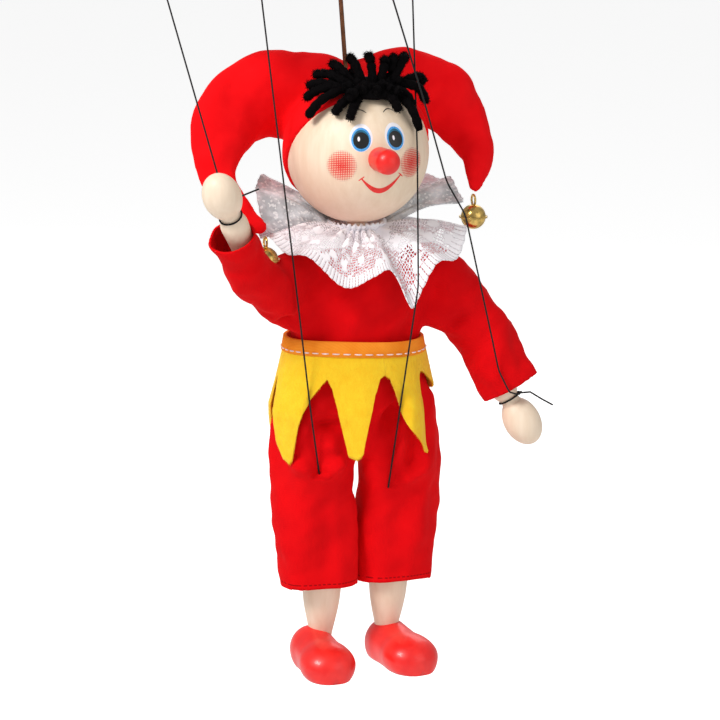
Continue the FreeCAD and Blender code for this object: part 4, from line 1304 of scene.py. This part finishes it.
def ruff_point(angle, share, edge=(), gather=1.0):
    """share runs from 0 at the neck to 1 at the edge, and below 0 up the neck frill."""
    a = math.radians(angle)
    reach, height = ruff_edge(angle, edge or RUFF_EDGE)
    out = Vector((math.cos(a), math.sin(a), 0))
    neck = Vector(NECK_AT) + Vector((out.x * NECK_RX, out.y * NECK_RY, 0))
    if share < 0:
        flare = 3.2 * -share + 0.9 * math.sin(34 * a) * -share
        return neck + out * flare + Z * (RUFF_UP * -share + 0.6 * math.sin(29 * a + 1) * -share)
    edge = Vector((out.x * reach, out.y * reach * 0.86 + 1, height))
    p = neck.lerp(edge, share)
    bulge = math.sin(math.pi * min(1, share * 1.05)) * 4.0
    p.z += bulge
    rise = math.sin(math.pi * min(1, share * 1.4 + 0.12))
    gathers = math.sin(27 * a + 1.5 * math.sin(3 * a)) * 2.3 * rise
    waves = math.sin(11 * a + 2.0 * math.sin(2 * a)) * 2.3 * share
    return p + Z * (gathers * max(0, 1 - share) + waves) * gather


def ruff(name, angles, shares, mat, slot, replaced, edge=(), sink=0.0, gather=1.0):
    verts, uv = [], []
    rows, columns = len(shares), len(angles)
    for share in shares:
        for angle in angles:
            scallop = 1 + 0.012 * abs(math.sin(math.radians(angle) * 42)) * (share > 0.95)
            p = ruff_point(angle, share * scallop, edge, gather) - Z * sink
            verts.append(p)
            uv.append((math.radians(angle) * 46 * MM, share))
    closed = abs(angles[-1] - angles[0]) > 355
    faces = grid_faces(rows, columns, close_columns=closed)
    points = np.array(verts)
    points, polygons = thickened(points, faces, RUFF_CLOTH)
    return build(name, [at(p) for p in points], polygons, mat, "torso", slot, replaced, uv=uv + uv)


def make_collar():
    """The flat sizes are fitted to the modelled cloth's area, not measured."""
    steps = 420
    angles = [360 * k / steps for k in range(steps)]
    shares = [-1, -0.6, -0.3] + [i / 24 for i in range(25)]
    piece = ruff("collar_lace", angles, shares, M["lace"], "white_lace", ["lace_collar"])
    back = [-14 + 208 * k / 180 for k in range(181)]
    piece = ruff("collar_silver", back, [i / 16 for i in range(17)], M["net"], "silver_net", ["collar_net"],
                 edge=NET_EDGE, sink=1.6, gather=0.8)


# ---- Wood, wire and control ----------------------------------------------------------
SOLE_Z = -262.0
# Each shoe: the middle of its heel and of its toe.
SHOES = {"right": ((-22.0, 7), (-21, -15)), "left": ((18.2, 7), (22.6, -15))}
# How far ahead of the heel's middle, half the width there and the height of the top.
SHOE_ROWS = (
    (-11.4, 2.5, 8), (-10.6, 6.0, 13), (-7, 9.4, 18), (0, 11.2, 20.5), (7, 11.4, 19.5),
    (14, 12.4, 17.8), (21, 13.8, 17.5), (28, 13.2, 16), (33, 10.0, 13), (35.6, 6.0, 9.5), (36.4, 2.5, 7),
)


def make_shoes():
    """Carved clogs: a heel, a broad round toe and a slight waist, flat below."""
    around = 48
    for side_name, _ in SIDES:
        heel, toe = (Vector((x, y, SOLE_Z)) for x, y in SHOES[side_name])
        ahead = (toe - heel).normalized()
        aside = Z.cross(ahead)
        verts = []
        rows = smooth_path(SHOE_ROWS, 5)
        for reach, half, top in rows:
            for k in range(around):
                turn = 2 * math.pi * k / around
                height = top * 0.42 + top * (0.58 if math.sin(turn) > 0 else 0.7) * math.sin(turn)
                out = aside * half * math.cos(turn)
                verts.append(heel + ahead * reach + out + Z * max(0, height))
        count = len(rows) * around
        verts += [heel + ahead * rows[0][0] + Z * 3.5, heel + ahead * rows[-1][0] + Z * 3.5]
        faces = grid_faces(len(rows), around, close_columns=True)
        for k in range(around):
            faces.append((count, (k + 1) % around, k))
            faces.append((count + 1, count - around + k, count - around + (k + 1) % around))
        build("shoe_wood_" + side_name, [at(v) for v in verts], faces, M["shoe"],
              "shin_" + side_name, "shoe_paint", ["shoe_" + side_name])


def make_wood():
    for node in ("control_bar", "hand_crossbar", "knee_crossbar"):
        dress(node, M["plain"])
    for node in ("crossbar_screws", "hanging_hook", "wire_staple", "torso_eyes", "hip_rod"):
        dress(node, M["steel"])
    dress("head_wire", M["wire"])
    dress("torso_block", M["limb"])
    for side_name, _ in SIDES:
        for node in ("upper_arm_", "forearm_hand_", "thigh_", "shin_"):
            dress(node + side_name, M["limb"])
        for node in ("upper_arm_eyes_", "forearm_eye_", "knee_pin_"):
            dress(node + side_name, M["steel"])
        dress("wrist_loop_" + side_name, M["string"])


make_materials()
M["cheek"] = halftone("cheek_print", (0.93, 0.16, 0.12), CHEEK_R * MM)
make_stage()
make_strings()
make_head()
make_hair()
make_cap()
make_bells()
make_jacket()
make_trousers()
make_band()
make_skirt()
make_collar()
make_wood()
make_shoes()
